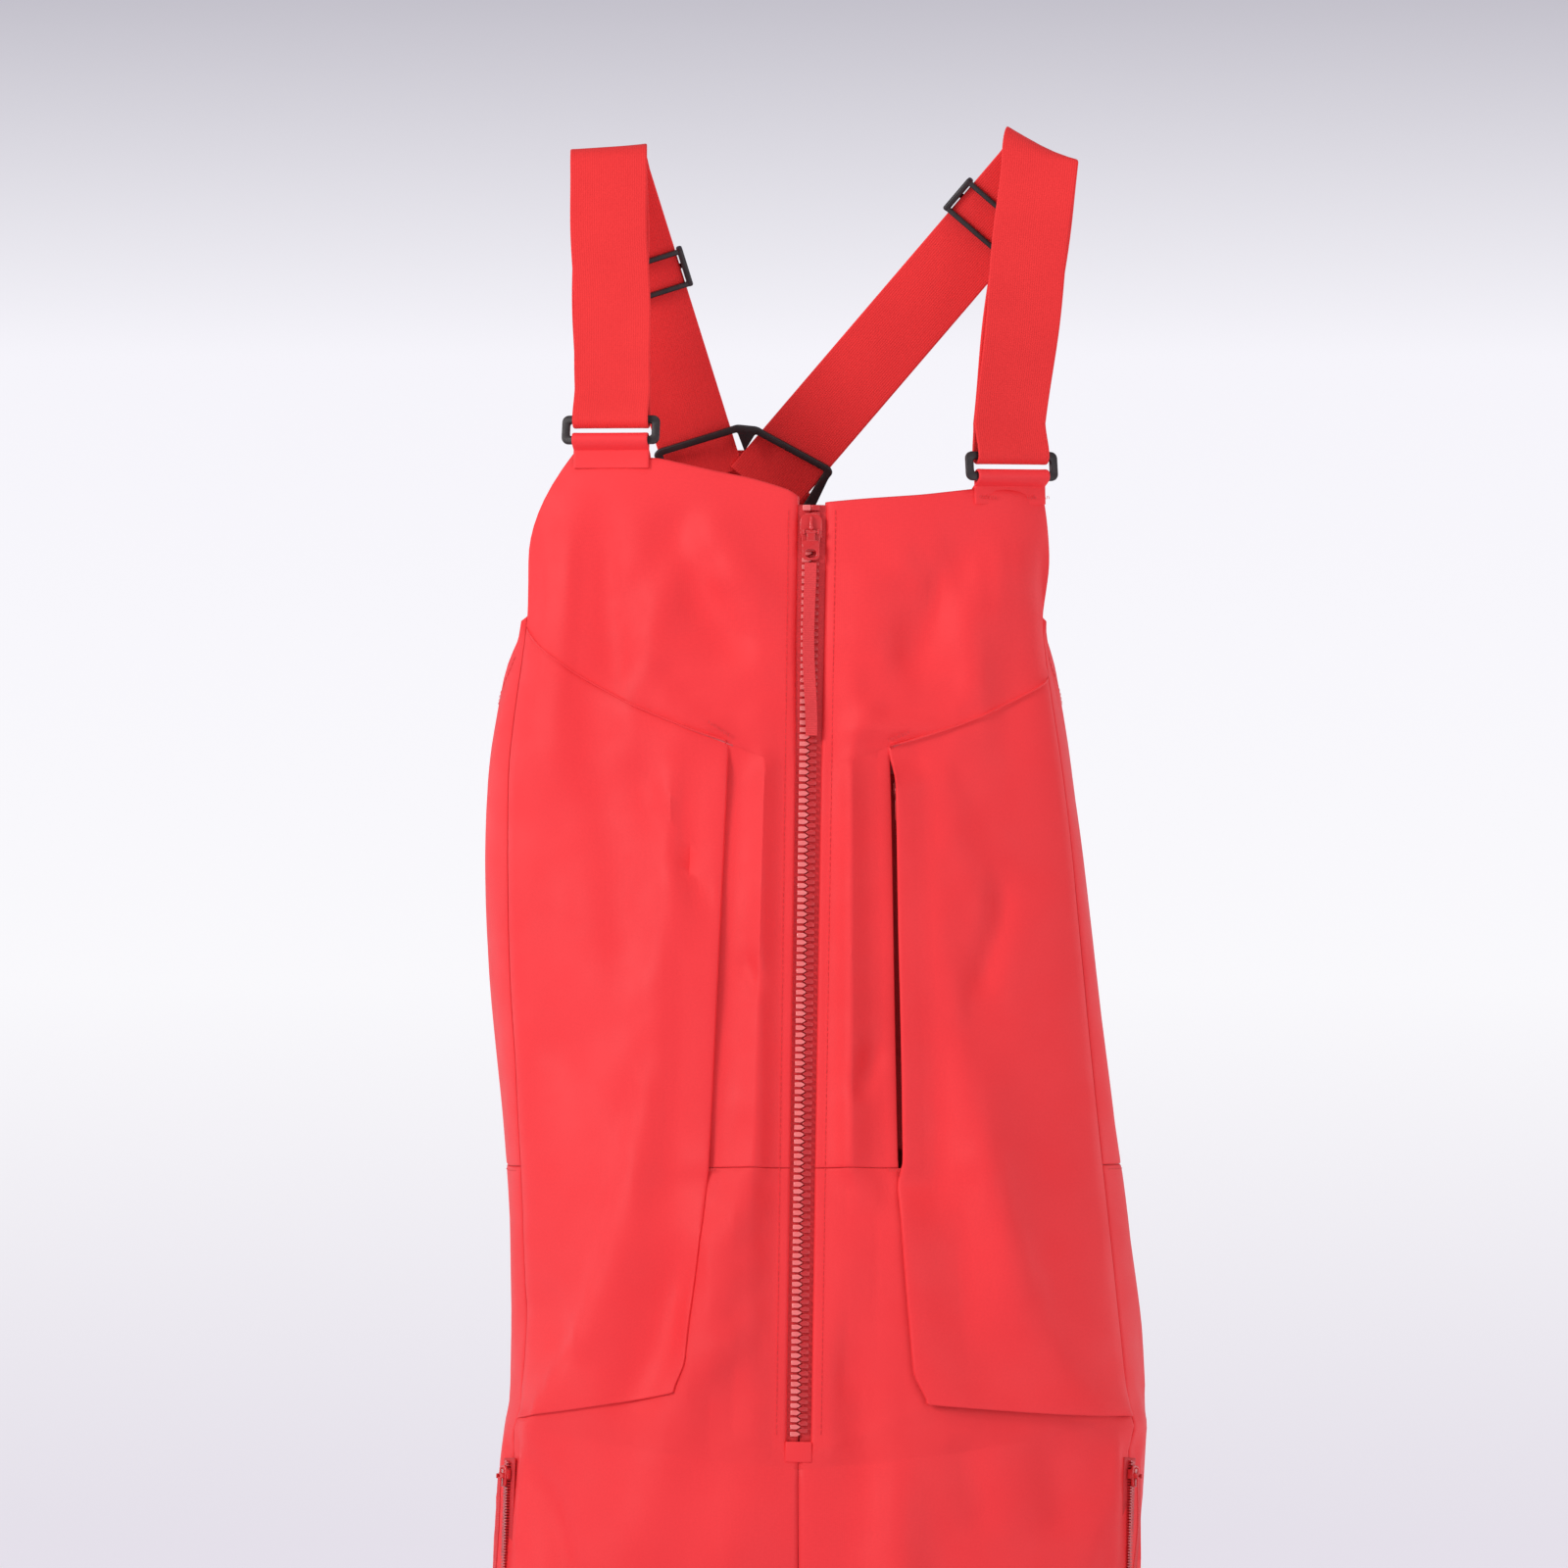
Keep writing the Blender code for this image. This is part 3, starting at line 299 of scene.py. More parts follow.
def woven(name, light, dark, roughness, warp, weft, depth, sheen=0.12):
    """Woven cloth: warp and weft at their real pitch, slubs, and slow changes of tone."""
    made, tree, shader = new_material(name, light, roughness, sheen=sheen)
    uv, place = cloth_places(tree)
    weave = math_node(tree, "MULTIPLY", threads(tree, uv, warp, "X", 0.4), threads(tree, uv, weft, "Y", 0.4))
    slubs = vary(tree, uv, 900.0, 0.0, 0.30, 1.0)
    tone = plus(tree, plus(tree, vary(tree, place, 14.0, 0.0, 0.55), slubs), weave, 0.35)
    tree.links.new(mix_colors(tree, tone, light, dark), shader.inputs["Base Color"])
    tree.links.new(vary(tree, place, 40.0, roughness - 0.06, roughness + 0.06), shader.inputs["Roughness"])
    bump(tree, shader, plus(tree, weave, slubs, 1.2), 0.5, depth)
    return made


def ribbed(name, light, dark, roughness, pitch, direction, depth, cross=0.0009):
    """Narrow woven goods: strong ribs one way and finer yarns the other."""
    made, tree, shader = new_material(name, light, roughness, sheen=0.15)
    uv, place = cloth_places(tree)
    fine = threads(tree, uv, cross, "X" if direction == "Y" else "Y", 0.5)
    both = plus(tree, threads(tree, uv, pitch, direction), fine, 0.4)
    fuzz = vary(tree, place, 1400.0, 0.0, 0.35, 1.0)
    tone = plus(tree, plus(tree, fuzz, both, 0.30), vary(tree, place, 30.0, 0.0, 0.35))
    tree.links.new(mix_colors(tree, tone, light, dark), shader.inputs["Base Color"])
    bump(tree, shader, plus(tree, both, fuzz, 0.8), 0.6, depth)
    return made


def moulded(name, light, dark, roughness, metallic=0.0, coat=0.0, grain=2200.0, depth=0.00004):
    """Moulded plastic or painted metal: a fine grain, and a lighter colour on sharp outward edges."""
    made, tree, shader = new_material(name, light, roughness, metallic, coat=coat)
    place = cloth_places(tree)[1]
    pointed = tree.nodes.new("ShaderNodeNewGeometry").outputs["Pointiness"]
    tone = plus(tree, vary(tree, place, 120.0, 0.0, 0.5), map_range(tree, pointed, 0.50, 0.62, 0.0, 0.5))
    tree.links.new(mix_colors(tree, tone, dark, light), shader.inputs["Base Color"])
    tree.links.new(vary(tree, place, 260.0, roughness - 0.07, roughness + 0.07), shader.inputs["Roughness"])
    bump(tree, shader, vary(tree, place, grain, 0.0, 1.0, 2.0), 0.35, depth)
    return made


SHELL_RED = (0.98, 0.031, 0.038)
SHELL_SHADE = (0.89, 0.023, 0.030)
MATERIALS = {
    "shell": woven("shell_cloth", SHELL_RED, SHELL_SHADE, 0.62, 0.00055, 0.00065, 0.00006),
    "inside": woven("shell_inside", (0.80, 0.16, 0.17), (0.66, 0.10, 0.11), 0.75, 0.0009, 0.0009, 0.00005),
    "seam_tape": woven("seam_tape", (0.70, 0.040, 0.048), (0.58, 0.028, 0.034), 0.42, 0.0011, 0.0011,
                       0.00003, sheen=0.0),
    "webbing": ribbed("webbing", (0.95, 0.030, 0.030), (0.80, 0.018, 0.020), 0.78, 0.0011, "X", 0.00016),
    "elastic": ribbed("elastic", (0.86, 0.036, 0.040), (0.70, 0.022, 0.026), 0.80, 0.0016, "Y", 0.00025),
    "grosgrain": ribbed("grosgrain", (0.90, 0.050, 0.056), (0.66, 0.022, 0.028), 0.62, 0.0011, "Y", 0.00022,
                        0.0006),
    "tape": ribbed("zip_tape", (0.80, 0.036, 0.044), (0.58, 0.020, 0.026), 0.70, 0.0008, "Y", 0.00010,
                   0.0007),
    "thread": ribbed("thread", (0.84, 0.050, 0.056), (0.62, 0.026, 0.032), 0.60, 0.0003, "Y", 0.00003),
    "black": moulded("black_plastic", (0.030, 0.018, 0.020), (0.012, 0.008, 0.009), 0.46),
    # A lighter, pinker copy of the teeth colour, used on the right row: a painted highlight
    "teeth_painted_highlight": moulded("teeth_painted_highlight", (0.96, 0.28, 0.27), (0.86, 0.12, 0.12), 0.30, coat=0.3),
    "teeth": moulded("teeth", (0.66, 0.030, 0.036), (0.50, 0.018, 0.022), 0.34, coat=0.2),
    "painted": moulded("painted_metal", (0.76, 0.032, 0.036), (0.62, 0.020, 0.024), 0.30, coat=0.5),
    "scuff": woven("scuff_cloth", (0.045, 0.045, 0.050), (0.016, 0.016, 0.018), 0.66, 0.0016, 0.0016,
                   0.00025),
    "gaiter": woven("gaiter_cloth", (0.13, 0.13, 0.14), (0.07, 0.07, 0.078), 0.60, 0.0007, 0.0007, 0.00008),
    "gaiter_elastic": ribbed("gaiter_elastic", (0.060, 0.060, 0.064), (0.02, 0.02, 0.022), 0.70, 0.0018, "Y",
                             0.0003),
    "mesh": woven("lining_mesh", (0.62, 0.040, 0.050), (0.40, 0.020, 0.026), 0.80, 0.0018, 0.0018, 0.0003),
    "steel": moulded("hook_metal", (0.62, 0.62, 0.64), (0.42, 0.42, 0.44), 0.28, metallic=1.0, grain=700.0),
}


# ---- the body surface ----

def stations(table, z):
    """The value at a height, from (height, value) pairs that go down."""
    heights = [-height for height, _ in table]
    return np.interp(-np.asarray(z, float), heights, [value for _, value in table])


def smooth(table, z):
    """Stations joined by a rounded line instead of straight stretches."""
    steps = (-0.024, -0.012, 0.0, 0.012, 0.024)
    return sum(stations(table, z + step) for step in steps) / len(steps)


def ease(low, high, value):
    """0 at low and 1 at high, with soft ends; low may be the greater one."""
    share = np.clip((value - low) / (high - low), 0, 1)
    return share * share * (3 - 2 * share)


def near(distance, full, none):
    """1 up to the full distance, then softly down to 0."""
    return 1 - ease(full, none, distance)


def front_x(z):
    """The x of the front line, which leans over the torso."""
    return FRONT_LEAN * (np.clip(z, -0.66, -0.15) - FRONT_LEAN_ZERO)


def front_y(z):
    """The y of the front line."""
    return FRONT_Y_AT_TOP + FRONT_Y_SLOPE * (np.maximum(z, CROTCH) - ZIP_TOP)


def leg_share(u, z):
    """How far the surface has turned from torso to leg. The front and back lines run round the crotch."""
    fall = np.clip((FORK - z) / (FORK - CROTCH), 0, 1)
    inner = 1 - np.sqrt(1 - fall * fall)
    outer = ease(0, 1, (FORK - z) / (FORK - CROTCH + 0.12))
    away = ease(0.0, 0.22, np.minimum(u, 1 - u))
    return inner * (1 - away) + outer * away


def body(side, u, z):
    """Points of the body: u runs from the front line (0) round the outside to the back line (1)."""
    u, z = np.broadcast_arrays(np.asarray(u, float), np.asarray(z, float))
    width = smooth(HALF_WIDTH[side], z)
    sine, cosine = np.sin(np.pi * u), np.cos(np.pi * u)
    depth = np.where(cosine > 0, -front_y(z), smooth(BACK_DEPTH, z))
    torso_x = width * np.abs(sine) ** ROUNDNESS
    torso_y = -np.copysign(depth * np.abs(cosine) ** ROUNDNESS, cosine)
    inner = smooth(LEG_INNER, z)
    leg_x = (inner + width) / 2 - (width - inner) / 2 * np.cos(2 * np.pi * u)
    leg_y = -smooth(LEG_DEPTH, z) * np.sin(2 * np.pi * u)
    share = leg_share(u, z)
    x = torso_x * (1 - share) + leg_x * share
    y = torso_y * (1 - share) + leg_y * share
    return np.stack([front_x(z) + side * x, y, z + 0 * x], -1)


def outward(side, u, z):
    """The way out of the body."""
    step = 0.004
    u = np.clip(u, step, 1 - step)
    across = body(side, u + step, z) - body(side, u - step, z)
    down = body(side, u, z - step) - body(side, u, z + step)
    normal = np.cross(down, across) * side
    return normal / np.linalg.norm(normal, axis=-1, keepdims=True)


def u_at(side, x, z):
    """The u of a point of the torso's front at a distance from the front line."""
    share = np.clip(np.asarray(x, float) / smooth(HALF_WIDTH[side], z), 0, 1)
    return np.arcsin(share ** (1 / ROUNDNESS)) / np.pi


def pocket_u(side, z, away=0.0):
    """The u of the pocket mouth, or of a line at a distance from it."""
    return u_at(side, stations(POCKET_X, z) + away, z)


def seam_u(z):
    """The u of the side seam."""
    return stations(SIDE_SEAM_U, z)


def fold_height(places):
    """How far the listed folds lift the front's points."""
    x, z = places[..., 0], places[..., 2]
    total = np.zeros_like(x)
    for half_width, height, line in FOLDS:
        lengths = [math.dist(a, b) for a, b in zip(line, line[1:])]
        before, nearest, position = 0.0, np.full_like(x, 9.0), np.zeros_like(x)
        for (a, b), length in zip(zip(line, line[1:]), lengths):
            share = ((x - a[0]) * (b[0] - a[0]) + (z - a[1]) * (b[1] - a[1])) / length ** 2
            share = np.clip(share, 0, 1)
            away = np.hypot(x - a[0] - share * (b[0] - a[0]), z - a[1] - share * (b[1] - a[1]))
            closer = away < nearest
            nearest = np.where(closer, away, nearest)
            position = np.where(closer, (before + share * length) / sum(lengths), position)
            before += length
        fade = ease(0, 0.25, position) * ease(0, 0.25, 1 - position) + 0.12
        total += height * fade * np.exp(-(nearest / half_width) ** 2)
    return total


def hang(side, u, z):
    """Long folds of the hanging legs and seat, deeper towards the hem, and the knee's soft creases."""
    turn = 2 * np.pi * u
    fall = ease(*LEG_FOLDS, z)
    lean = 1.6 * (z - FORK) + (0.7 if side == LEFT else 2.1)
    waves = 0.0032 * np.sin(3 * turn + 2.2 * lean) + 0.0018 * np.sin(5 * turn - 3.1 * lean)
    knee = 0.0012 * np.exp(-((z - KNEE) / KNEE_REACH) ** 2) * np.sin((z - KNEE) * 95 + 2 * np.cos(turn))
    seat = 0.0030 * np.exp(-((z - SEAT) / SEAT_REACH) ** 2) * np.sin((z - SEAT) * 120 + 5 * u)
    back = 0.0026 * np.sin(7 * np.pi * (u - 0.5) + 9 * z) * ease(0.5, 0.65, u) * ease(-0.26, -0.36, z)
    return waves * fall + knee + seat * ease(0.5, 0.8, u) + back * (1 - fall) * ease(0, 0.06, 1 - u)


SETTLE_COLUMNS, SETTLE_ROWS, SETTLE_TOP = 46, 150, -0.160
SETTLED = {side: np.zeros((SETTLE_ROWS + 1, SETTLE_COLUMNS + 1, 3)) for side in (LEFT, RIGHT)}


def moved(side, u, z):
    """How far the simulation let a place of the cloth move, between the settling grid's rows and columns."""
    row = np.clip((SETTLE_TOP - z) / (SETTLE_TOP - HEM), 0, 1) * SETTLE_ROWS
    column = np.clip(u, 0, 1) * SETTLE_COLUMNS
    above = np.minimum(row.astype(int), SETTLE_ROWS - 1)
    before = np.minimum(column.astype(int), SETTLE_COLUMNS - 1)
    down, along = (row - above)[..., None], (column - before)[..., None]
    field = SETTLED[side]
    upper = field[above, before] * (1 - along) + field[above, before + 1] * along
    lower = field[above + 1, before] * (1 - along) + field[above + 1, before + 1] * along
    return upper * (1 - down) + lower * down


def stiff_here(u, z, place):
    """1 where a zip, a strap tab or the back band holds the cloth still, and 0 where it is free."""
    across = np.abs(place[..., 0] - front_x(z))
    front = u < 0.5
    zip_line = near(across, 0.010, 0.026) * front * (z > ZIP_BOTTOM - 0.012)
    top = ease(*TOP_HELD, z) * front
    pocket_away = np.abs(across - stations(POCKET_X, z) - POCKET_ZIP_AWAY)
    pocket = near(pocket_away, 0.010, 0.030) * front * ease(*POCKET_HELD, z)
    pocket = pocket * ease(0, 0.02, POCKET_HELD_TOP - z)
    vent_z = ease(VENT_BOTTOM - 0.030, VENT_BOTTOM - 0.005, z) * ease(VENT_TOP + 0.020, VENT_TOP + 0.005, z)
    vent = near(np.abs(u - seam_u(z)), 0.02, 0.05) * vent_z
    band = near(across, 0.03, 0.05) * (~front) * ease(*BAND_HELD, z)
    crotch = near(np.minimum(u, 1 - u), 0.0, 0.05) * ease(-0.62, -0.66, z) * ease(-0.84, -0.80, z)
    return np.clip(np.max([zip_line, top, pocket, vent, band, crotch], axis=0), 0, 1)


def cloth(side, u, z, out=0.0):
    """Points of the hanging cloth, or of a layer that lies out in front of it."""
    u, z = np.broadcast_arrays(np.asarray(u, float), np.asarray(z, float))
    base, normal = body(side, u, z), outward(side, u, z)
    free = 1 - stiff_here(u, z, base)
    front = near(u, 0.36, 0.46)
    zip_share = ease(0.010, 0.022, np.abs(base[..., 0] - front_x(z))) * front
    beside = ease(ZIP_BOTTOM - 0.030, ZIP_BOTTOM + 0.010, z)
    folds = fold_height(base) * (zip_share * beside + front * (1 - beside))
    lift = folds + hang(side, u, z) * free
    return base + moved(side, u, z) * free[..., None] + normal * (lift + out)[..., None]


def settling_mesh(u_values, z_values):
    """The whole garment as one mesh over the settling grid, its held shares, and each place's vertex."""
    index, places, pins, faces = {}, [], [], []
    for side in (LEFT, RIGHT):
        grid = body(side, u_values[None, :], z_values[:, None])
        held = stiff_here(*np.broadcast_arrays(u_values[None, :], z_values[:, None]), grid)
        for row, z in enumerate(z_values):
            for column in range(SETTLE_COLUMNS + 1):
                key = (side, row, column)
                if column in (0, SETTLE_COLUMNS) and z >= CROTCH:
                    key = (0, row, column)
                elif column == SETTLE_COLUMNS:
                    key = (side, row, 0)
                if key not in index:
                    index[key] = len(places)
                    places.append(grid[row, column])
                    pins.append(held[row, column])
                index[(side, row, column, "at")] = index[key]
    for side in (LEFT, RIGHT):
        for row in range(SETTLE_ROWS):
            for column in range(SETTLE_COLUMNS):
                u, z = u_values[column], z_values[row]
                if z > BACK_TOP and u > seam_u(z):
                    continue
                corners = [(row, column), (row + 1, column), (row + 1, column + 1), (row, column + 1)]
                faces.append([index[(side, r, c, "at")] for r, c in corners])
    mesh = bpy.data.meshes.new("settling")
    mesh.from_pydata([tuple(place) for place in places], [], faces)
    return mesh, np.array(places), pins, index


def simulated(mesh, pins):
    """Where the mesh's vertices end after it has hung as a cloth, held by the pins' shares."""
    obj = bpy.data.objects.new("settling", mesh)
    bpy.context.scene.collection.objects.link(obj)
    group = obj.vertex_groups.new(name="held")
    for number, weight in enumerate(pins):
        group.add([number], float(weight), "REPLACE")
    modifier = obj.modifiers.new("cloth", "CLOTH")
    settings = modifier.settings
    settings.vertex_group_mass = "held"
    settings.quality = 5
    settings.mass = 0.15
    settings.air_damping = 4.0
    settings.tension_stiffness = 25
    settings.compression_stiffness = 12
    settings.shear_stiffness = 4
    settings.bending_stiffness = 0.6
    settings.shrink_min = -0.022
    modifier.point_cache.frame_end = SETTLE_FRAMES
    scene = bpy.context.scene
    for number in range(1, SETTLE_FRAMES + 1):
        scene.frame_set(number)
    result = obj.evaluated_get(bpy.context.evaluated_depsgraph_get()).data
    ends = np.zeros(len(result.vertices) * 3, np.float32)
    result.vertices.foreach_get("co", ends)
    bpy.data.objects.remove(obj)
    scene.frame_set(1)
    return ends.reshape(-1, 3)


def settle():
    """Hangs the garment from its straps, zips and band, and keeps how each place moves, without the mean."""
    z_values = np.linspace(SETTLE_TOP, HEM, SETTLE_ROWS + 1)
    u_values = np.linspace(0, 1, SETTLE_COLUMNS + 1)
    mesh, places, pins, index = settling_mesh(u_values, z_values)
    shift = simulated(mesh, pins) - places
    shift[:, 2] = 0
    far = np.linalg.norm(shift, axis=1, keepdims=True)
    shift = shift * SETTLE_LIMIT / (SETTLE_LIMIT + far)
    ways_out = {side: outward(side, u_values[None, :], z_values[:, None]) for side in (LEFT, RIGHT)}
    for side in (LEFT, RIGHT):
        for row, column in np.ndindex(SETTLE_ROWS + 1, SETTLE_COLUMNS + 1):
            SETTLED[side][row, column] = shift[index[(side, row, column, "at")]]
    outs = [(SETTLED[side] * ways_out[side]).sum(-1).mean(1) for side in (LEFT, RIGHT)]
    mean_out = np.convolve(np.pad(sum(outs) / 2, 6, mode="edge"), np.ones(13) / 13, mode="valid")
    for side in (LEFT, RIGHT):
        SETTLED[side] -= ways_out[side] * mean_out[:, None, None]


# ---- pieces ----

def show(name, mesh, material, slot, on_body="garment"):
    """Puts a finished mesh in the scene, on one body of the frame."""
    obj = bpy.data.objects.new(name, mesh)
    bpy.context.scene.collection.objects.link(obj)
    mesh.materials.append(MATERIALS[material])
    mesh.shade_smooth()
    mesh.set_sharp_from_angle(angle=math.radians(50))
    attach(obj, on_body)
    return obj


def put(name, mesh, place, material, slot, node=None, on_body="garment"):
    """Moves a mesh to its place and shows it, as the piece that stands for a frame node."""
    mesh.transform(place)
    made = show(name, mesh, material, slot, on_body)
    if node:
        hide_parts(node)
    return made


def axes_at(origin, x_axis, y_axis, z_axis):
    """A place with its three axes."""
    return Matrix.Translation(origin) @ Matrix((x_axis, y_axis, z_axis)).transposed().to_4x4()


def mirrored(side, near, far):
    """A block's low and high x on one side of the middle."""
    return sorted((side * near, side * far))


def grid_mesh(name, points, flip=False, wrap=False):
    """A quad mesh over rows of points, with UVs in metres along its columns and rows."""
    rows, columns = points.shape[:2]
    across = np.linalg.norm(np.diff(points, axis=1), axis=2).mean(0)
    down = np.linalg.norm(np.diff(points, axis=0), axis=2).mean(1)
    u_place = np.concatenate([[0], np.cumsum(across)])
    v_place = np.concatenate([[0], np.cumsum(down)])
    faces, corners = [], []
    for row in range(rows - 1):
        for column in range(columns - 1 + wrap):
            quad = [(row, column), (row + 1, column), (row + 1, column + 1), (row, column + 1)]
            if flip:
                quad.reverse()
            faces.append([r * columns + c % columns for r, c in quad])
            corners += [(u_place[min(c, columns - 1)], v_place[r]) for r, c in quad]
    mesh = bpy.data.meshes.new(name)
    mesh.from_pydata([tuple(point) for point in points.reshape(-1, 3)], [], faces)
    layer = mesh.uv_layers.new(name="cloth")
    layer.data.foreach_set("uv", np.array(corners, np.float32).ravel())
    return mesh


def thicken(obj, thickness=SHELL, inside="inside"):
    """Gives a sheet its thickness on the inner side, where its reverse shows."""
    obj.data.materials.append(MATERIALS[inside])
    solid = obj.modifiers.new("cloth thickness", "SOLIDIFY")
    solid.thickness = thickness
    solid.offset = -1
    solid.material_offset = 1
    solid.use_even_offset = False


def declare(points):
    """Works out the size a sheet was cut to: its widest row, its longest column and its area, and keeps none
    of them.
    """
    steps_across = np.linalg.norm(np.diff(points, axis=1), axis=2)
    steps_down = np.linalg.norm(np.diff(points, axis=0), axis=2)
    width = round(float(steps_across.sum(1).max()), 3)
    length = round(float(steps_down.sum(0).max()), 3)
    a, b = points[1:, :-1] - points[:-1, :-1], points[:-1, 1:] - points[:-1, :-1]
    c, d = points[:-1, 1:] - points[1:, 1:], points[1:, :-1] - points[1:, 1:]
    area = (np.linalg.norm(np.cross(a, b), axis=2) + np.linalg.norm(np.cross(c, d), axis=2)).sum() / 2
    area = min(max(round(float(area), 4), round(0.31 * width * length, 4)), round(width * length, 4))


def steps_to(length):
    """Shares along an edge: fine steps at its ends, then even ones."""
    inner = [end / length for end in (0.0006, 0.0016, 0.0034)]
    count = max(2, round(length / GRID))
    even = [step / count for step in range(count + 1)]
    middle = [share for share in even if 0.006 / length < share < 1 - 0.006 / length]
    shares = [0.0] + inner + middle + [1 - share for share in reversed(inner)] + [1.0]
    return np.array(sorted(set(shares)))


def edge_line(knots, counts):
    """Points (u, z) between knots, as many in each stretch as counts says."""
    made = [np.array(knots[0], float)]
    for (a, b), count in zip(zip(knots, knots[1:]), counts):
        for step in range(1, count + 1):
            made.append(np.array(a) + (np.array(b) - np.array(a)) * step / count)
    return np.array(made)


def counts_for(heights):
    """How many grid steps lie between the heights."""
    return [max(1, math.ceil(abs(b - a) / GRID)) for a, b in zip(heights, heights[1:])]


def with_fine_ends(line, first=True, last=True):
    """Adds close rows beside the first and the last one, so that an edge can turn in."""
    rows = list(line)
    if last:
        rows[-1:-1] = [rows[-1] + (rows[-2] - rows[-1]) * share for share in (0.5, 0.15)]
    if first:
        rows[1:1] = [rows[0] + (rows[1] - rows[0]) * share for share in (0.15, 0.5)]
    return np.array(rows)


def between(inner, outer, width):
    """The (u, z) of every point of a panel between its two edges."""
    shares = steps_to(width)[None, :, None]
    return inner[:, None, :] * (1 - shares) + outer[:, None, :] * shares


def turned(shape, top=True, bottom=True, sides=(True, True), depth=0.0006):
    """How far the points beside each edge sink into the seam."""
    rows, columns = shape
    sink = np.zeros(shape)
    profile = [1.0, 0.35, 0.08]
    for step, share in enumerate(profile):
        for used, where in ((top, np.s_[step, :]), (bottom, np.s_[rows - 1 - step, :]),
                            (sides[0], np.s_[:, step]), (sides[1], np.s_[:, columns - 1 - step])):
            if used:
                sink[where] = np.maximum(sink[where], share * depth)
    return -sink


def sheet_over(name, node, side, points, look=("shell", "shell_cloth"), thickness=SHELL,
               inside="inside", wrap=False):
    """A sheet of cloth over rows of points, which stands for its frame node."""
    obj = show(name, grid_mesh(name, points, flip=side == RIGHT, wrap=wrap), *look)
    thicken(obj, thickness, inside)
    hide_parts(node)
    whole = np.concatenate([points, points[:, :1]], 1) if wrap else points
    declare(whole)


def panel(name, node, side, places, out):
    """A panel of the shell."""
    sheet_over(name, node, side, cloth(side, places[..., 0], places[..., 1], out))


def turn_in(out, beside_zip):
    """Turns the columns beside the zip in, in the rows marked with 1."""
    for column, depth in enumerate(EDGE_TURN):
        out[:, column] -= depth * beside_zip


def near_outer_edge(columns):
    """1 at a panel's last column, falling off over a few columns."""
    return np.exp(-np.arange(columns)[::-1] / 2.0)[None, :]


def centre_edge(side, z):
    """The u of a front panel's edge beside the zip, and beside the centre and inner leg seams below it."""
    beside_zip = u_at(side, stations(PLACKET_EDGE[side], z), z)
    share = leg_share(0, z)
    seam = u_at(side, SEAM / 4, z) * (1 - share) + 0.0002 * share
    below = ease(ZIP_BOTTOM - 0.004, ZIP_BOTTOM - 0.007, z)
    return beside_zip * (1 - below) + seam * below


def top_edge(side, x):
    """The height of the bib's top edge at a distance from the front line."""
    return sum(np.interp(x + step, *zip(*TOP_EDGE[side])) for step in (-0.003, 0.0, 0.003)) / 3


def rounded_line(line, passes=14):
    """The line with its corners eased, and its ends where they were."""
    for _ in range(passes):
        line = line.copy()
        line[1:-1] = (line[:-2] + line[1:-1] + line[2:]) / 3
    return line


def chest_panel(hand, side):
    """The bib above the waist; its lower outer edge lies over the pocket panel."""
    inner_z = [ZIP_TOP, -0.186, -0.196, -0.222, -0.245, -0.310, -0.400, WAIST + SEAM]
    counts = counts_for(inner_z)
    counts[4] = 26
    inner = edge_line([(0, z) for z in inner_z], counts)
    knots = [(float(u_at(side, x, z)), z) for x, z in ARMHOLE[side]]
    knots += [(float(seam_u(z)) - SEAM_U, z) for z in (SIDE_SEAM_TOP, YOKE_SEAM_SIDE_Z[side])]
    mouth_z = (YOKE_SEAM_INNER_Z[side], -0.400, WAIST + SEAM)
    knots += [(float(pocket_u(side, z, POCKET_MOUTH)), z) for z in mouth_z]
    outer = edge_line(knots, counts)
    armhole = sum(counts[:4]) + 1
    outer[:armhole] = rounded_line(outer[:armhole])
    inner, outer = with_fine_ends(inner), with_fine_ends(outer)
    inner[:, 0] = centre_edge(side, inner[:, 1])
    places = between(inner, outer, 0.14)
    distance = np.abs(body(side, places[0, :, 0], places[0, :, 1])[:, 0] - front_x(ZIP_TOP))
    near_top = np.exp(-(ZIP_TOP - inner[:, 1:2]) / 0.014)
    places[..., 1] += (top_edge(side, distance) - places[0, :, 1])[None, :] * near_top
    out = turned(places.shape[:2], depth=0.0008)
    on_yoke = ease(YOKE_SEAM_SIDE_Z[side] + 0.004, YOKE_SEAM_SIDE_Z[side] - 0.004, places[..., 1])
    on_yoke = on_yoke * (places[..., 1] > YOKE_SEAM_INNER_Z[side] - 0.001)
    last_columns = near_outer_edge(places.shape[1])
    out = np.maximum(out, -0.0008 * (1 - on_yoke * last_columns))
    out += YOKE_OVERLAP * on_yoke * last_columns
    out[-3:] *= 0.3
    turn_in(out, inner[:, 1] > ZIP_BOTTOM)
    panel(f"bib_front_{hand}", f"chest_panel_{hand}", side, places, out)


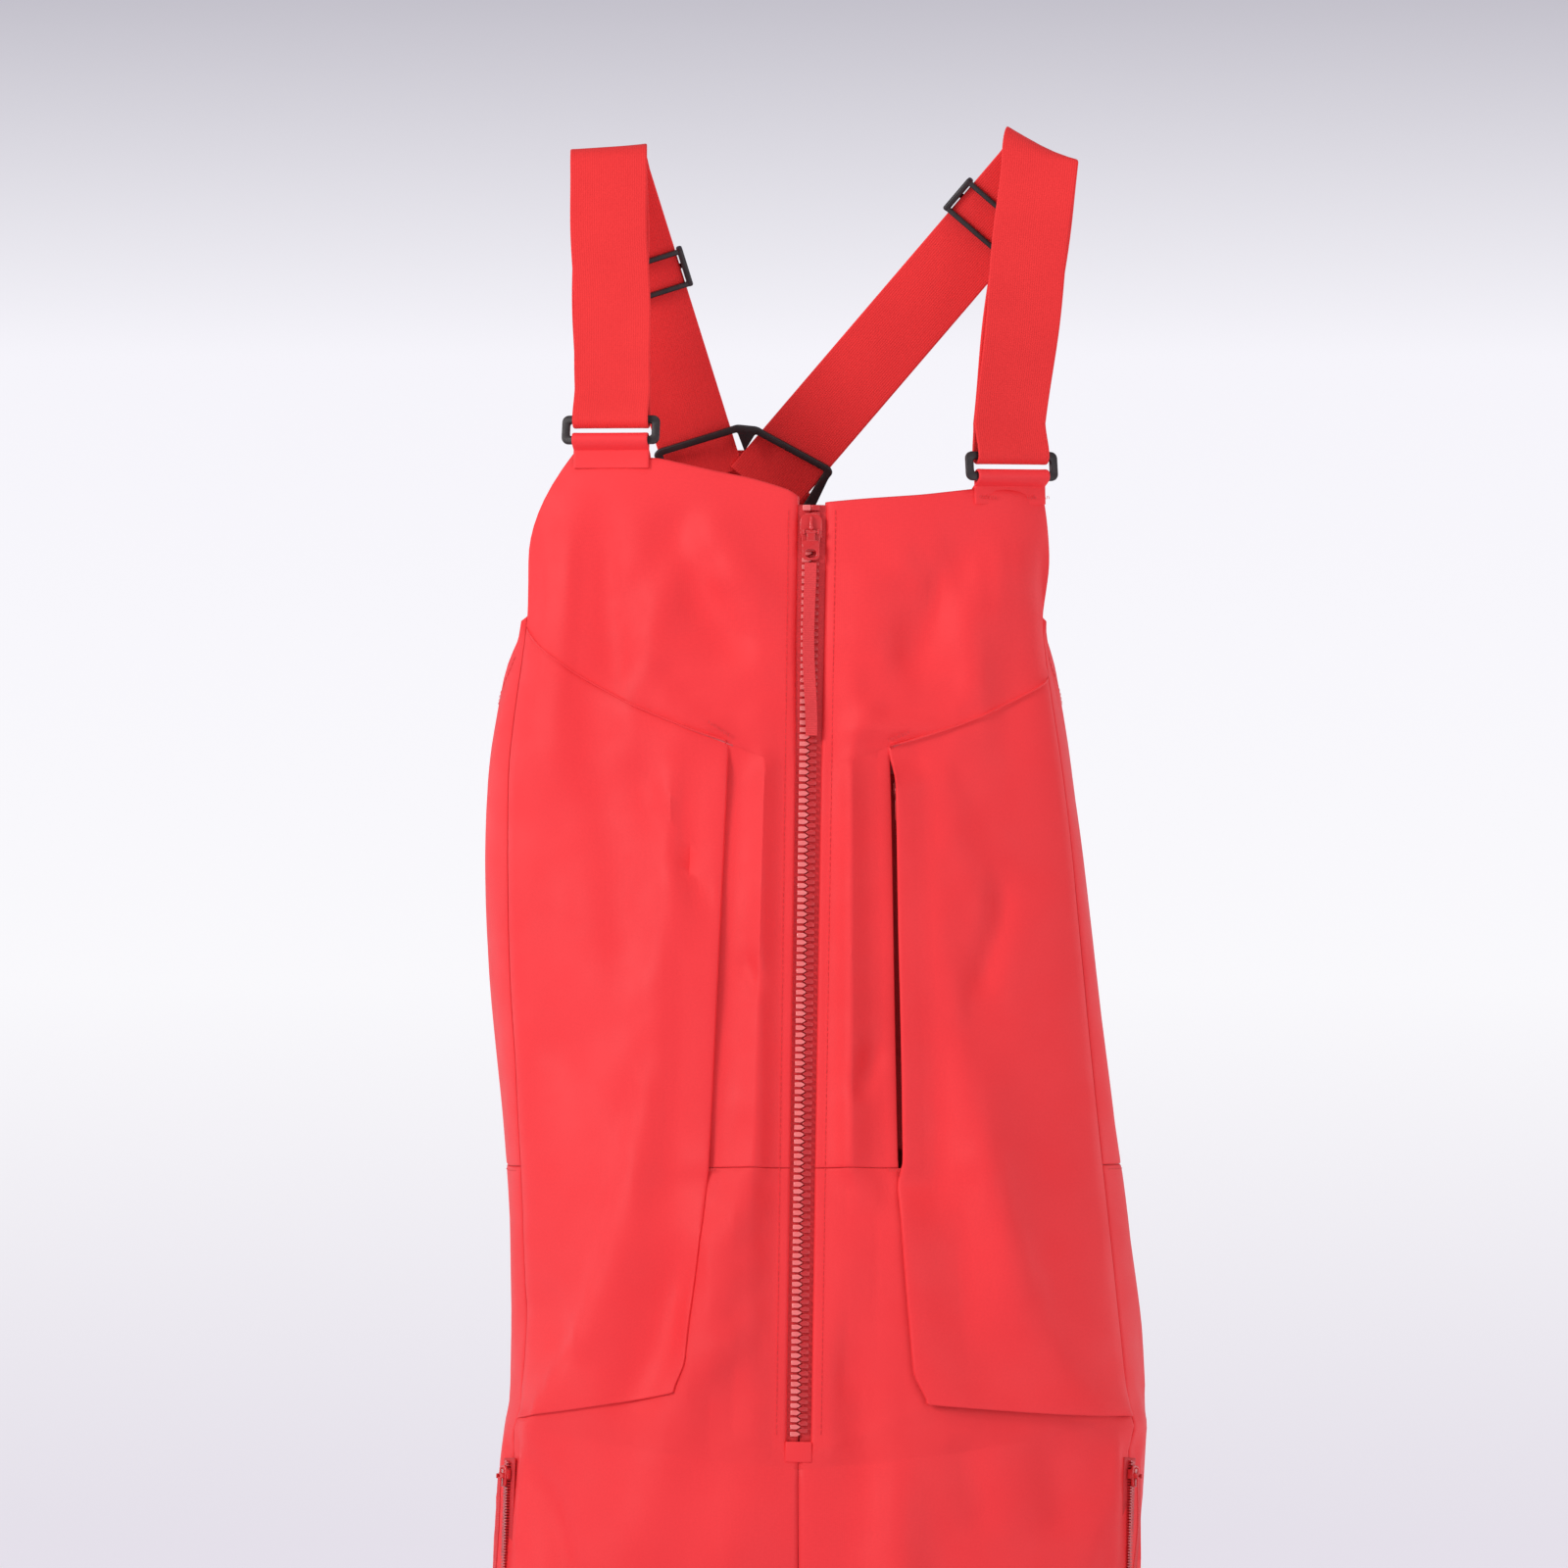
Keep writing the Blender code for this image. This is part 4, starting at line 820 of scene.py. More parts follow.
def pocket_panel(hand, side):
    """The pocket's outer panel: sewn in under the yoke, its inner edge an open flap over the zip."""
    columns = steps_to(0.13)
    height = abs(POCKET_CORNER_Z[side] - YOKE_SEAM_INNER_Z[side])
    rows = steps_to(height)
    across, down = np.meshgrid(columns, rows)
    top = (YOKE_SEAM_INNER_Z[side] + 0.0010) * (1 - across) + (YOKE_SEAM_SIDE_Z[side] + 0.0010) * across
    bottom = POCKET_CORNER_Z[side] * (1 - across) + POCKET_SIDE_Z[side] * across
    bottom = bottom - 0.0020 * np.sin(np.pi * across)
    z = top * (1 - down) + bottom * down
    corner = 0.010 * near(across, 0.0, 0.05) * ease(0.95, 1.0, down)
    u = pocket_u(side, z) * (1 - across) + (seam_u(z) - SEAM_U) * across
    u = u + corner * (1 - across)
    open_edge = ease(YOKE_SEAM_INNER_Z[side] + 0.002, YOKE_SEAM_INNER_Z[side] - 0.020, z)
    open_edge = open_edge * ease(WAIST - 0.010, WAIST + 0.004, z)
    u = u + (pocket_u(side, z, FLAP_OPEN[side]) - pocket_u(side, z)) * open_edge * (1 - across)
    away = np.abs(pocket_u(side, z) - u) * METRES_PER_U
    ripple = 1 + 0.25 * np.sin(55 * z + side)
    flap = FLAP_PROUD[side] * ripple * open_edge * np.exp(-(away / 0.016) ** 2)
    loose = ease(WAIST, WAIST - 0.02, z) * FLAP_LOOSE[side]
    rim = np.exp(-(away / 0.012) ** 2) + np.exp(-((1 - down) * height / 0.012) ** 2)
    sewn = 0.0010 * ease(0.0, 0.03, down) * near(across, 0.93, 1.0)
    out = flap + sewn + loose * np.minimum(rim, 1) * (1 - 0.6 * ease(0.95, 1.0, across))
    out = out + turned(z.shape, top=False, bottom=False, sides=(False, True), depth=0.0004)
    out[:, :2] -= np.array([0.0010, 0.0002])
    places = np.stack([u, z], -1)
    panel(f"side_pocket_{hand}", f"pocket_panel_{hand}", side, places, out)


def leg_front(hand, side):
    """The front of the leg: from the waist beside the zip, under the pocket's lower edge, to the hem."""
    below = [-0.700, -0.745, -0.775, CROTCH, -0.830, -0.920, -1.020, -1.120, -1.220, -1.330, -1.440, HEM]
    inner_z = [WAIST, -0.580, ZIP_BOTTOM - 0.003, FORK] + below
    corner, side_z = POCKET_CORNER_Z[side] + 0.0012, POCKET_SIDE_Z[side] + 0.0012
    outer_z = [WAIST, -0.570, corner, side_z] + below
    counts = counts_for(inner_z)
    counts[2] = 30
    inner = with_fine_ends(edge_line([(0, z) for z in inner_z], counts))
    outer = with_fine_ends(edge_line([(0, z) for z in outer_z], counts))
    inner[:, 0] = centre_edge(side, inner[:, 1])
    first = with_fine_ends(np.arange(sum(counts) + 1)[:, None].astype(float))[:, 0]
    under_pocket = first <= counts[0] + counts[1]
    along_hem = np.clip((first - counts[0] - counts[1]) / counts[2], 0, 1)
    at_pocket = pocket_u(side, outer[:, 1], 0.010)
    at_seam = seam_u(outer[:, 1]) - SEAM_U
    outer[:, 0] = np.where(under_pocket, at_pocket, at_pocket * (1 - along_hem) + at_seam * along_hem)
    places = between(inner, outer, 0.15)
    out = turned(places.shape[:2], depth=0.0007)
    out[:3] *= 0.3
    out[:, :3] *= 1 - leg_share(0, inner[:, 1:2])
    last_columns = near_outer_edge(places.shape[1])
    hidden = (first < counts[0] + counts[1] + counts[2])[:, None]
    out -= 0.0009 * last_columns * hidden
    turn_in(out, inner[:, 1] > ZIP_BOTTOM - 0.002)
    out[-3:, :] -= np.array(HEM_TURN)[:, None]
    panel(f"leg_front_cloth_{hand}", f"leg_front_{hand}", side, places, out)


def back_panels():
    """The upper back in one piece, then the seat and the back of each leg."""
    down = edge_line([(0, 0), (0, 1)], [64])
    down = with_fine_ends(down)[:, 1:2]
    halves = {}
    for side in (LEFT, RIGHT):
        shares = steps_to(0.17)[None, :]
        top_u = float(seam_u(BACK_TOP)) * (1 - shares) + shares
        top = sum(np.interp(top_u + step, *zip(*BACK_EDGE)) for step in (-0.02, 0.0, 0.02)) / 3
        z = top * (1 - down) + (WAIST + SEAM) * down
        u = (seam_u(z) + SEAM_U) * (1 - shares) + shares
        places = np.stack([u, z], -1)
        out = turned(u.shape, sides=(True, False), depth=0.0004)
        halves[side] = cloth(side, places[..., 0], places[..., 1], out)
    points = np.concatenate([halves[RIGHT], halves[LEFT][:, -2::-1]], axis=1)
    sheet_over("upper_back", "back_panel", RIGHT, points)
    for hand, side in SIDES.items():
        heights = np.concatenate([np.arange(WAIST, HEM, -GRID), [HEM]])
        heights = with_fine_ends(np.stack([heights * 0, heights], -1))[:, 1]
        inner = np.stack([seam_u(heights) + SEAM_U, heights], -1)
        share = leg_share(0, heights)
        end = 1 - u_at(side, SEAM / 4, heights) * (1 - share) - 0.0002 * share
        outer = np.stack([end, heights], -1)
        places = between(inner, outer, 0.20)
        out = turned(places.shape[:2], depth=0.0007)
        out[:, -3:] *= 1 - share[:, None]
        out[-3:, :] -= np.array(HEM_TURN)[:, None]
        panel(f"leg_back_cloth_{hand}", f"leg_back_{hand}", side, places, out)


def on_cloth(side, line, out):
    """Dense points along a (u, z) line on the cloth, and the way out of the cloth at each."""
    line = np.array(line, float)
    places = body(side, line[:, 0], line[:, 1])
    gaps = np.linalg.norm(np.diff(places, axis=0), axis=1)
    reach = np.concatenate([[0], np.cumsum(gaps)])
    count = max(2, int(reach[-1] / 0.0015))
    marks = np.linspace(0, reach[-1], count)
    u, z = np.interp(marks, reach, line[:, 0]), np.interp(marks, reach, line[:, 1])
    return cloth(side, u, z, out), outward(side, u, z)


def seam_tape(name, side, u, z):
    """The tape welded over a seam on the inside, over rows of (u, z) places."""
    points = cloth(side, u, z, -SHELL - 0.0006)
    obj = show(name, grid_mesh(name, points), "seam_tape", "shell_cloth")
    thicken(obj, 0.0002, "seam_tape")


def tape_beside(name, side, u, z, across_u, across_z):
    """A seam tape that reaches as far on both sides of its seam."""
    u, z = np.broadcast_arrays(u, z)
    spread = np.linspace(-1, 1, 5)[None, :]
    seam_tape(name, side, u[:, None] + spread * across_u, z[:, None] + spread * across_z)


STITCHES = []


def stitch_row(points, normals, length=STITCH, gap=STITCH_GAP):
    """Sewn stitches along a line: each dips at its ends and stands up in the middle."""
    reach = np.concatenate([[0], np.cumsum(np.linalg.norm(np.diff(points, axis=0), axis=1))])
    start = 0.0
    while start + length < reach[-1]:
        marks = np.array([start, start + length * 0.25, start + length * 0.75, start + length])
        spine = np.stack([np.interp(marks, reach, points[:, axis]) for axis in range(3)], -1)
        away = np.stack([np.interp(marks, reach, normals[:, axis]) for axis in range(3)], -1)
        STITCHES.append((spine, away))
        start += length + gap


def stitch_line(side, u, z):
    """A row of stitches on the cloth along (u, z) places."""
    stitch_row(*on_cloth(side, np.stack(np.broadcast_arrays(u, z), -1), STITCHES_OUT))


def sew(name, on_body="garment"):
    """Turns the stitches gathered so far into one piece."""
    vertices, faces = [], []
    heights = (0.0, THREAD * 1.1, THREAD * 1.1, 0.0)
    for spine, away in STITCHES:
        along = spine[-1] - spine[0]
        first = len(vertices)
        for point, normal, height in zip(spine, away, heights):
            sideways = np.cross(along, normal)
            sideways *= THREAD / max(np.linalg.norm(sideways), 1e-9)
            centre = point + normal * height
            for offset in (-sideways, normal * THREAD, sideways, -normal * THREAD):
                vertices.append(tuple(centre + offset))
        for ring in range(3):
            for corner in range(4):
                a = first + ring * 4 + corner
                b = first + ring * 4 + (corner + 1) % 4
                faces.append((a, b, b + 4, a + 4))
        faces.append((first + 3, first + 2, first + 1, first))
        faces.append((first + 12, first + 13, first + 14, first + 15))
    STITCHES.clear()
    mesh = bpy.data.meshes.new(name)
    mesh.from_pydata(vertices, [], faces)
    show(name, mesh, "thread", "shell_cloth", on_body)


def bar_tack(side, x, z, length, lean=0.0, out=0.0003):
    """A dense zigzag that locks the end of an opening."""
    turns = 13
    for number in range(turns):
        share = number / (turns - 1) - 0.5
        place_x, place_z = x + share * length, z + lean * share * length
        tall = 0.0009 if number % 2 else -0.0009
        ends = [(float(u_at(side, place_x + end * 0.0002, place_z)), place_z + end * tall) for end in (-1, 1)]
        points, normals = on_cloth(side, ends, out)
        stitch_row(points[[0, -1]], normals[[0, -1]], length=0.00175, gap=1.0)


# ---- plain shapes for hard parts ----

def to_mesh(name, shape):
    """Ends a shape and gives its mesh, with its faces turned outward."""
    bmesh.ops.recalc_face_normals(shape, faces=shape.faces)
    mesh = bpy.data.meshes.new(name)
    shape.to_mesh(mesh)
    shape.free()
    return mesh


def add_block(shape, low, high, bevel=0.0):
    """A block, with rounded edges if it has a bevel."""
    low, high = Vector(low), Vector(high)
    place = Matrix.Translation((low + high) / 2) @ Matrix.Diagonal((*(high - low), 1))
    made = bmesh.ops.create_cube(shape, size=1, matrix=place)["verts"]
    if bevel:
        edges = list({edge for vert in made for edge in vert.link_edges})
        bmesh.ops.bevel(shape, geom=edges, offset=bevel, segments=3, profile=0.5, affect="EDGES")


def block_mesh(name, low, high, bevel):
    """The mesh of a single block."""
    shape = bmesh.new()
    add_block(shape, low, high, bevel)
    return to_mesh(name, shape)


def add_plate(shape, outline, windows, low, high, bevel):
    """A flat plate in the XZ plane with windows, bevelled along its rims; low and high are its Y faces."""
    curve = bpy.data.curves.new("plate", "CURVE")
    curve.dimensions = "2D"
    curve.fill_mode = "BOTH"
    curve.extrude = (high - low) / 2 - bevel
    curve.bevel_depth = bevel
    curve.bevel_resolution = 2
    curve.offset = -bevel
    for line in [outline, *windows]:
        spline = curve.splines.new("POLY")
        spline.points.add(len(line) - 1)
        for point, (x, z) in zip(spline.points, line):
            point.co = (x, z, 0, 1)
        spline.use_cyclic_u = True
    obj = bpy.data.objects.new("plate", curve)
    bpy.context.scene.collection.objects.link(obj)
    mesh = bpy.data.meshes.new_from_object(obj.evaluated_get(bpy.context.evaluated_depsgraph_get()))
    bpy.data.objects.remove(obj)
    bpy.data.curves.remove(curve)
    mesh.transform(Matrix.Translation((0, (low + high) / 2, 0)) @ Matrix.Rotation(math.pi / 2, 4, "X"))
    shape.from_mesh(mesh)
    bpy.data.meshes.remove(mesh)
    bmesh.ops.remove_doubles(shape, verts=shape.verts, dist=1e-6)


def rounded(width, height, radius, steps=6, centre=(0, 0)):
    """The outline of a rectangle with round corners."""
    points = []
    for corner in range(4):
        cx = centre[0] + (width / 2 - radius) * (1 if corner in (0, 3) else -1)
        cz = centre[1] + (height / 2 - radius) * (1 if corner in (0, 1) else -1)
        for step in range(steps + 1):
            angle = math.pi / 2 * (corner + step / steps)
            points.append((cx + radius * math.cos(angle), cz + radius * math.sin(angle)))
    return points


def soften(outline, radius=0.0015, steps=4):
    """The outline with each corner cut to a short curve."""
    made = []
    count = len(outline)
    for number in range(count):
        before, here, after = (Vector((*outline[(number + step) % count], 0)) for step in (-1, 0, 1))
        a = here + (before - here).normalized() * min(radius, (before - here).length * 0.4)
        b = here + (after - here).normalized() * min(radius, (after - here).length * 0.4)
        for step in range(steps + 1):
            t = step / steps
            point = a * (1 - t) ** 2 + here * 2 * t * (1 - t) + b * t * t
            made.append((point.x, point.y))
    return made


def add_rod(shape, points, radius, segments=10):
    """A round rod through points, closed at its ends."""
    rings = []
    for number, point in enumerate(points):
        tangent = points[min(number + 1, len(points) - 1)] - points[max(number - 1, 0)]
        side_way = tangent.orthogonal() if not rings else side_way - tangent * (
            side_way.dot(tangent) / tangent.length_squared)
        side_way.normalize()
        up = tangent.normalized().cross(side_way)
        ring = []
        for step in range(segments):
            angle = 2 * math.pi * step / segments
            offset = side_way * math.cos(angle) + up * math.sin(angle)
            ring.append(shape.verts.new(point + offset * radius))
        rings.append(ring)
    for a, b in zip(rings, rings[1:]):
        for step in range(segments):
            after = (step + 1) % segments
            shape.faces.new((a[step], a[after], b[after], b[step]))
    shape.faces.new(rings[0][::-1])
    shape.faces.new(rings[-1])


# ---- webbing ----

# (share of the width, share of the thickness) of the webbing's upper half, to its middle
WEB_HALF = [(-0.5, 0.0), (-0.497, 0.30), (-0.485, 0.47), (-0.46, 0.5), (-0.40, 0.45), (-0.2, 0.44),
            (0.0, 0.44)]
WEB_PROFILE = WEB_HALF + [(-x, y) for x, y in WEB_HALF[-2::-1]]


def webbing(name, node, centres, widths, look=("webbing", "webbing"), on_body="garment",
            thickness=WEB_THICKNESS, place=Matrix()):
    """A woven strip along a path, with fuller edges; widths has one vector for each point."""
    profile = WEB_PROFILE + [(x, -y) for x, y in WEB_PROFILE[-2:0:-1]]
    last = len(centres) - 1
    sections, reach, reaches = [], 0.0, []
    for number, (centre, width) in enumerate(zip(centres, widths)):
        tangent = centres[min(number + 1, last)] - centres[max(number - 1, 0)]
        away = tangent.cross(width).normalized() * thickness
        if number:
            reach += (centre - centres[number - 1]).length
        reaches.append(reach)
        sections.append([centre + width * x + away * y for x, y in profile])
    count = len(profile)
    vertices = [tuple(point) for section in sections for point in section]
    faces, corners = [], []
    wide = widths[0].length
    across = [point[0] * wide for point in profile] + [profile[0][0] * wide]
    for row in range(last):
        for column in range(count):
            after = (column + 1) % count
            faces.append((row * count + column, row * count + after, (row + 1) * count + after,
                          (row + 1) * count + column))
            corners += [(across[column], reaches[row]), (across[column + 1], reaches[row]),
                        (across[column + 1], reaches[row + 1]), (across[column], reaches[row + 1])]
    for ends, row in ((range(count - 1, -1, -1), 0), (range(count), last)):
        faces.append([row * count + column for column in ends])
        corners += [(across[column], reaches[row]) for column in ends]
    mesh = bpy.data.meshes.new(name)
    mesh.from_pydata(vertices, [], faces)
    mesh.uv_layers.new(name="web").data.foreach_set("uv", np.array(corners, np.float32).ravel())
    shape = bmesh.new()
    shape.from_mesh(mesh)
    bmesh.ops.recalc_face_normals(shape, faces=shape.faces)
    shape.to_mesh(mesh)
    shape.free()
    put(name, mesh, place, *look, node, on_body)


def ring_frame(side):
    """The ring's place: X along it, Y into the garment, Z up the strap."""
    z = RING_Z[side]
    bib_z = z - RING_HEIGHT / 2 - 0.004
    u = float(u_at_straight(side, abs(RING_X[side]) + side * -float(front_x(bib_z)), bib_z))
    along = Vector(body_straight(side, u + 0.01, bib_z)) - Vector(body_straight(side, u - 0.01, bib_z))
    along.z = 0
    x_axis = along.normalized() * side
    centre = Vector(body_straight(side, u, bib_z))
    centre = Vector((RING_X[side], centre.y - 0.001, z))
    up = SHOULDER[side] + Vector((0, -HANGER_RADIUS, -HANGER_RADIUS)) - centre
    up = (up - x_axis * up.dot(x_axis)).normalized()
    y_axis = up.cross(x_axis)
    return axes_at(centre, x_axis, y_axis, up)


def u_at_straight(side, x, z):
    """The u at a distance from the front line, on the straight stations."""
    share = min(x / float(stations(HALF_WIDTH[side], z)), 1)
    return math.asin(share ** (1 / ROUNDNESS)) / math.pi


def body_straight(side, u, z):
    """A point of the torso's front with its stations joined by straight stretches, as in the frame."""
    width = float(stations(HALF_WIDTH[side], z))
    x = width * math.sin(math.pi * u) ** ROUNDNESS
    y = float(front_y(z)) * math.cos(math.pi * u) ** ROUNDNESS
    return (float(front_x(z)) + side * x, y, z)


def back_frame(side):
    """The back strap's place at the shoulder: X across it, Y away from the wearer, Z up it."""
    top = SHOULDER[side] + Vector((0, HANGER_RADIUS, -HANGER_RADIUS))
    up = (top - BACK_END[side]).normalized()
    y_axis = Vector((0, 1, 0))
    y_axis = (y_axis - up * y_axis.dot(up)).normalized()
    x_axis = y_axis.cross(up)
    return axes_at(top, x_axis, y_axis, up)


def over_shoulder(side, back_across, radius, first, last):
    """(place, width) pairs of the webbing over the hanger, from the back's angle to the front's."""
    tilt = SHOULDER_TILT[side]
    top_across = Vector((math.cos(tilt), 0, math.sin(tilt)))
    hub = SHOULDER[side] - Vector((0, 0, HANGER_RADIUS))
    made = []
    for step in range(STRAP_STEPS + 1):
        angle = first + (last - first) * step / STRAP_STEPS
        share = angle / math.pi
        if share < 0.5:
            width = web_width(back_across, top_across, 2 * share)
        else:
            width = web_width(top_across, Vector((1, 0, 0)), 2 * share - 1)
        made.append((hub + radius * Vector((0, math.cos(angle), math.sin(angle))), width))
    return made


def web_width(a, b, share):
    """The webbing's width on its turn from one direction to another."""
    return (a * (1 - share) + b * share).normalized() * WEB_WIDTH


def front_layer(side, ring, bar, radius, side_of_bar):
    """(place, width) pairs of one layer of webbing from the hanger down to the ring's bar."""
    turn = ring.to_3x3()
    ring_across = turn @ Vector((1, 0, 0))
    start = SHOULDER[side] + Vector((0, -radius, -HANGER_RADIUS))
    close = bar + turn @ Vector((0, side_of_bar * STRAP_LOOP_RADIUS, 0.0005))
    meet = bar + turn @ Vector((0, side_of_bar * WEB_LAYER_STEP / 2, 0.016))
    made = []
    for step in range(1, STRAP_STEPS):
        share = step / STRAP_STEPS
        bow = turn @ Vector((0.0008 * math.sin(7 * share) * side_of_bar, 0, 0))
        width = web_width(Vector((1, 0, 0)), ring_across, share)
        made.append((start.lerp(meet, share) + bow * math.sin(math.pi * share), width))
    sideways = turn @ Vector((0, 1, 0))
    flat = (close - meet).dot(sideways)
    for step in range(9):
        share = step / 8
        eased = share * share * (3 - 2 * share)
        place = meet.lerp(close, share) + sideways * flat * (eased - share)
        made.append((place, ring_across * WEB_WIDTH))
    return made


def shoulder_strap(hand, side):
    """One length of webbing: adjuster, over the shoulder, round the ring, back over and to the yoke."""
    ring, back = ring_frame(side), back_frame(side)
    turn = ring.to_3x3()
    ring_across = turn @ Vector((1, 0, 0))
    back_across = back.to_3x3() @ Vector((1, 0, 0))
    bar = ring @ Vector((0, 0, RING_HEIGHT / 2 - RING_BAR / 2))
    inner = HANGER_RADIUS + WEB_THICKNESS / 2
    outer = inner + WEB_LAYER_STEP
    sewn_end = ADJUSTER_AT[side] - 0.0200
    points = []
    for step in range(3):
        down = sewn_end * (1 - step / 2.5)
        place = back @ Vector((0, WEB_THICKNESS / 2 + WEB_LAYER_STEP, -down))
        points.append((place, back_across * WEB_WIDTH))
    points += over_shoulder(side, back_across, outer, 0.25, math.pi - 0.1)
    points += front_layer(side, ring, bar, outer, -1)
    for step in range(-5, 6):
        angle = step * math.pi / 12
        place = bar + turn @ (STRAP_LOOP_RADIUS * Vector((0, math.sin(angle), -math.cos(angle))))
        points.append((place, ring_across * WEB_WIDTH))
    points += reversed(front_layer(side, ring, bar, inner, 1))
    points += over_shoulder(side, back_across, inner, math.pi - 0.1, 0.1)
    length = (back.translation - BACK_END[side]).length
    for step in range(1, 25):
        place = back @ Vector((0, WEB_THICKNESS / 2, -length * step / 24))
        points.append((place, back_across * WEB_WIDTH))
    webbing(f"shoulder_webbing_{hand}", f"shoulder_strap_{hand}", *zip(*points))


def ring_tab(hand, side):
    """The folded tab that holds the ring, sewn to the bib's top edge."""
    ring = ring_frame(side)
    turn = ring.to_3x3()
    across = turn @ Vector((1, 0, 0)) * WEB_WIDTH
    bar = ring @ Vector((0, 0, -RING_HEIGHT / 2 + RING_BAR / 2))
    foot = 0.0130
    centres = []
    for step in range(11):
        share = 1 - step / 10
        tuck = 0.0112 * float(ease(0.05, 0.5, share))
        centres.append(bar + turn @ Vector((0, tuck - TAB_LOOP_RADIUS, -foot * share)))
    for step in range(1, 16):
        angle = math.pi * step / 16
        centres.append(bar + turn @ (TAB_LOOP_RADIUS * Vector((0, -math.cos(angle), math.sin(angle)))))
    for step in range(6):
        centres.append(bar + turn @ Vector((0, TAB_LOOP_RADIUS + 0.0002 * step, -foot * step / 5)))
    widths = [across] * len(centres)
    webbing(f"ring_tab_{hand}", f"strap_tab_{hand}", centres, widths, ("shell", "shell_cloth"))


def ring_loop(hand, side):
    """The rectangular plastic ring with rounded bars."""
    shape = bmesh.new()
    window = rounded(RING_WIDTH - 2 * RING_BAR, RING_HEIGHT - 2 * RING_BAR, 0.0012)
    add_plate(shape, rounded(RING_WIDTH, RING_HEIGHT, 0.0034), [window], -RING_THICKNESS / 2,
              RING_THICKNESS / 2, 0.0007)
    name, node = f"strap_ring_{hand}", f"ring_{hand}"
    put(name, to_mesh(name, shape), ring_frame(side), "black", "black_plastic", node, node)


def adjuster(hand, side):
    """The three-bar adjuster on the back strap, with the sewn end of the webbing round its middle bar."""
    place = back_frame(side) @ Matrix.Translation((0, 0, -ADJUSTER_AT[side]))
    inside, outside = WEB_WIDTH / 2 + 0.0006, WEB_WIDTH / 2 + 0.0036
    back_face, front_face = -0.0032, 0.0050
    shape = bmesh.new()
    add_block(shape, (-inside - 0.001, 0.0034, -0.0013), (inside + 0.001, front_face, 0.0013), 0.0005)
    for end in (-1, 1):
        low, high = mirrored(end, ADJUSTER_HALF, ADJUSTER_HALF - 0.0026)
        add_block(shape, (-inside - 0.001, back_face, low), (inside + 0.001, -0.0008, high), 0.0007)
        low, high = mirrored(end, inside, outside)
        add_block(shape, (low, back_face - 0.0002, -ADJUSTER_HALF - 0.0002),
                  (high, front_face + 0.0002, ADJUSTER_HALF + 0.0002), 0.0011)
    for step in range(-8, 9):
        x = step * 0.0022
        low, high = (x - 0.0004, front_face - 0.0002, -0.0010), (x + 0.0004, front_face + 0.0003, 0.0010)
        add_block(shape, low, high, 0.00012)
    name, node = f"strap_adjuster_{hand}", f"adjuster_{hand}"
    put(name, to_mesh(name, shape), place, "black", "black_plastic", node, node)
    near, far = WEB_THICKNESS + 0.0012, 0.0061
    middle, reach = (near + far) / 2, (far - near) / 2
    path = [(near, 0.0185 - step * 0.0025) for step in range(7)]
    for step in range(1, 12):
        angle = math.pi * step / 12
        path.append((middle - reach * math.cos(angle), -0.0010 - reach * math.sin(angle)))
    path += [(far, 0.0010), (far, 0.0030), (near + 0.0028, 0.0075), (near + 0.0019, 0.0110),
             (near + 0.0019, 0.0145), (near + 0.0019, 0.0175)]
    centres = [Vector((0, y, z)) for y, z in path]
    widths = [Vector((WEB_WIDTH, 0, 0))] * len(centres)
    webbing(f"strap_sewn_end_{hand}", f"strap_end_{hand}", centres, widths, on_body=node, place=place)
    for row_z in (0.0112, 0.0158):
        row_x = [WEB_WIDTH * (step / 24 - 0.5) * 0.9 for step in range(25)]
        across = np.array([list(place @ Vector((x, near + 0.0026, row_z))) for x in row_x])
        stitch_row(across, np.array([list(place.to_3x3() @ Vector((0, 1, 0)))] * 25))
    sew(f"strap_end_stitches_{hand}", node)


def back_yoke():
    """The flat frame where the two back straps meet."""
    half = [(-0.0050, 0), (-0.0430, -0.0165), (-0.0450, -0.0195), (-0.0430, -0.0225), (-0.0340, -0.0480),
            (-0.0300, -0.0520)]
    outer = half + [(-x, z) for x, z in reversed(half)]
    window = [(-0.0405, -0.0190), (-0.0045, -0.0036), (0.0, -0.0130), (0.0045, -0.0036),
              (0.0405, -0.0190), (0.0280, -0.0450), (-0.0280, -0.0450)]
    shape = bmesh.new()
    add_plate(shape, soften(outer), [soften(window, 0.0010)], -0.0015, 0.0015, 0.0006)
    turn = Matrix.Rotation(YOKE_TURN, 4, "Y") @ Matrix.Rotation(YOKE_LEAN, 4, "X")
    place = Matrix.Translation(YOKE_APEX) @ turn
    put("back_frame", to_mesh("back_frame", shape), place, "black", "black_plastic", "back_yoke")


def back_band():
    """The wide elastic from the yoke to the back panel."""
    top, bottom = Vector((-0.0350, 0.0560, -0.1500)), Vector((-0.0060, 0.0500, BACK_TOP + 0.0006))
    centres = []
    for step in range(31):
        share = step / 30
        centres.append(top.lerp(bottom, share) + Vector((0, 0.0010 * math.sin(math.pi * share), 0)))
    webbing("back_elastic", "back_band", centres, [Vector((0.0600, 0, 0))] * 31, ("elastic", "webbing"),
            thickness=0.0016)
    for down in (0.012, 0.022, 0.064, 0.076):
        share = down / (top - bottom).length
        centre = top.lerp(bottom, share) + Vector((0, 0.0009 + 0.0010 * math.sin(math.pi * share), 0))
        across = [list(centre + Vector((0.052 * (step / 30 - 0.5), 0, 0))) for step in range(31)]
        stitch_row(np.array(across), np.array([[0, 1, 0]] * 31))


# ---- zips ----

def zip_frame(top, bottom, away):
    """A zip's place at its top: X across, Y into the garment, Z up along it."""
    up = (top - bottom).normalized()
    y_axis = -(away - up * away.dot(up)).normalized()
    x_axis = y_axis.cross(up)
    return axes_at(top, x_axis, y_axis, up)


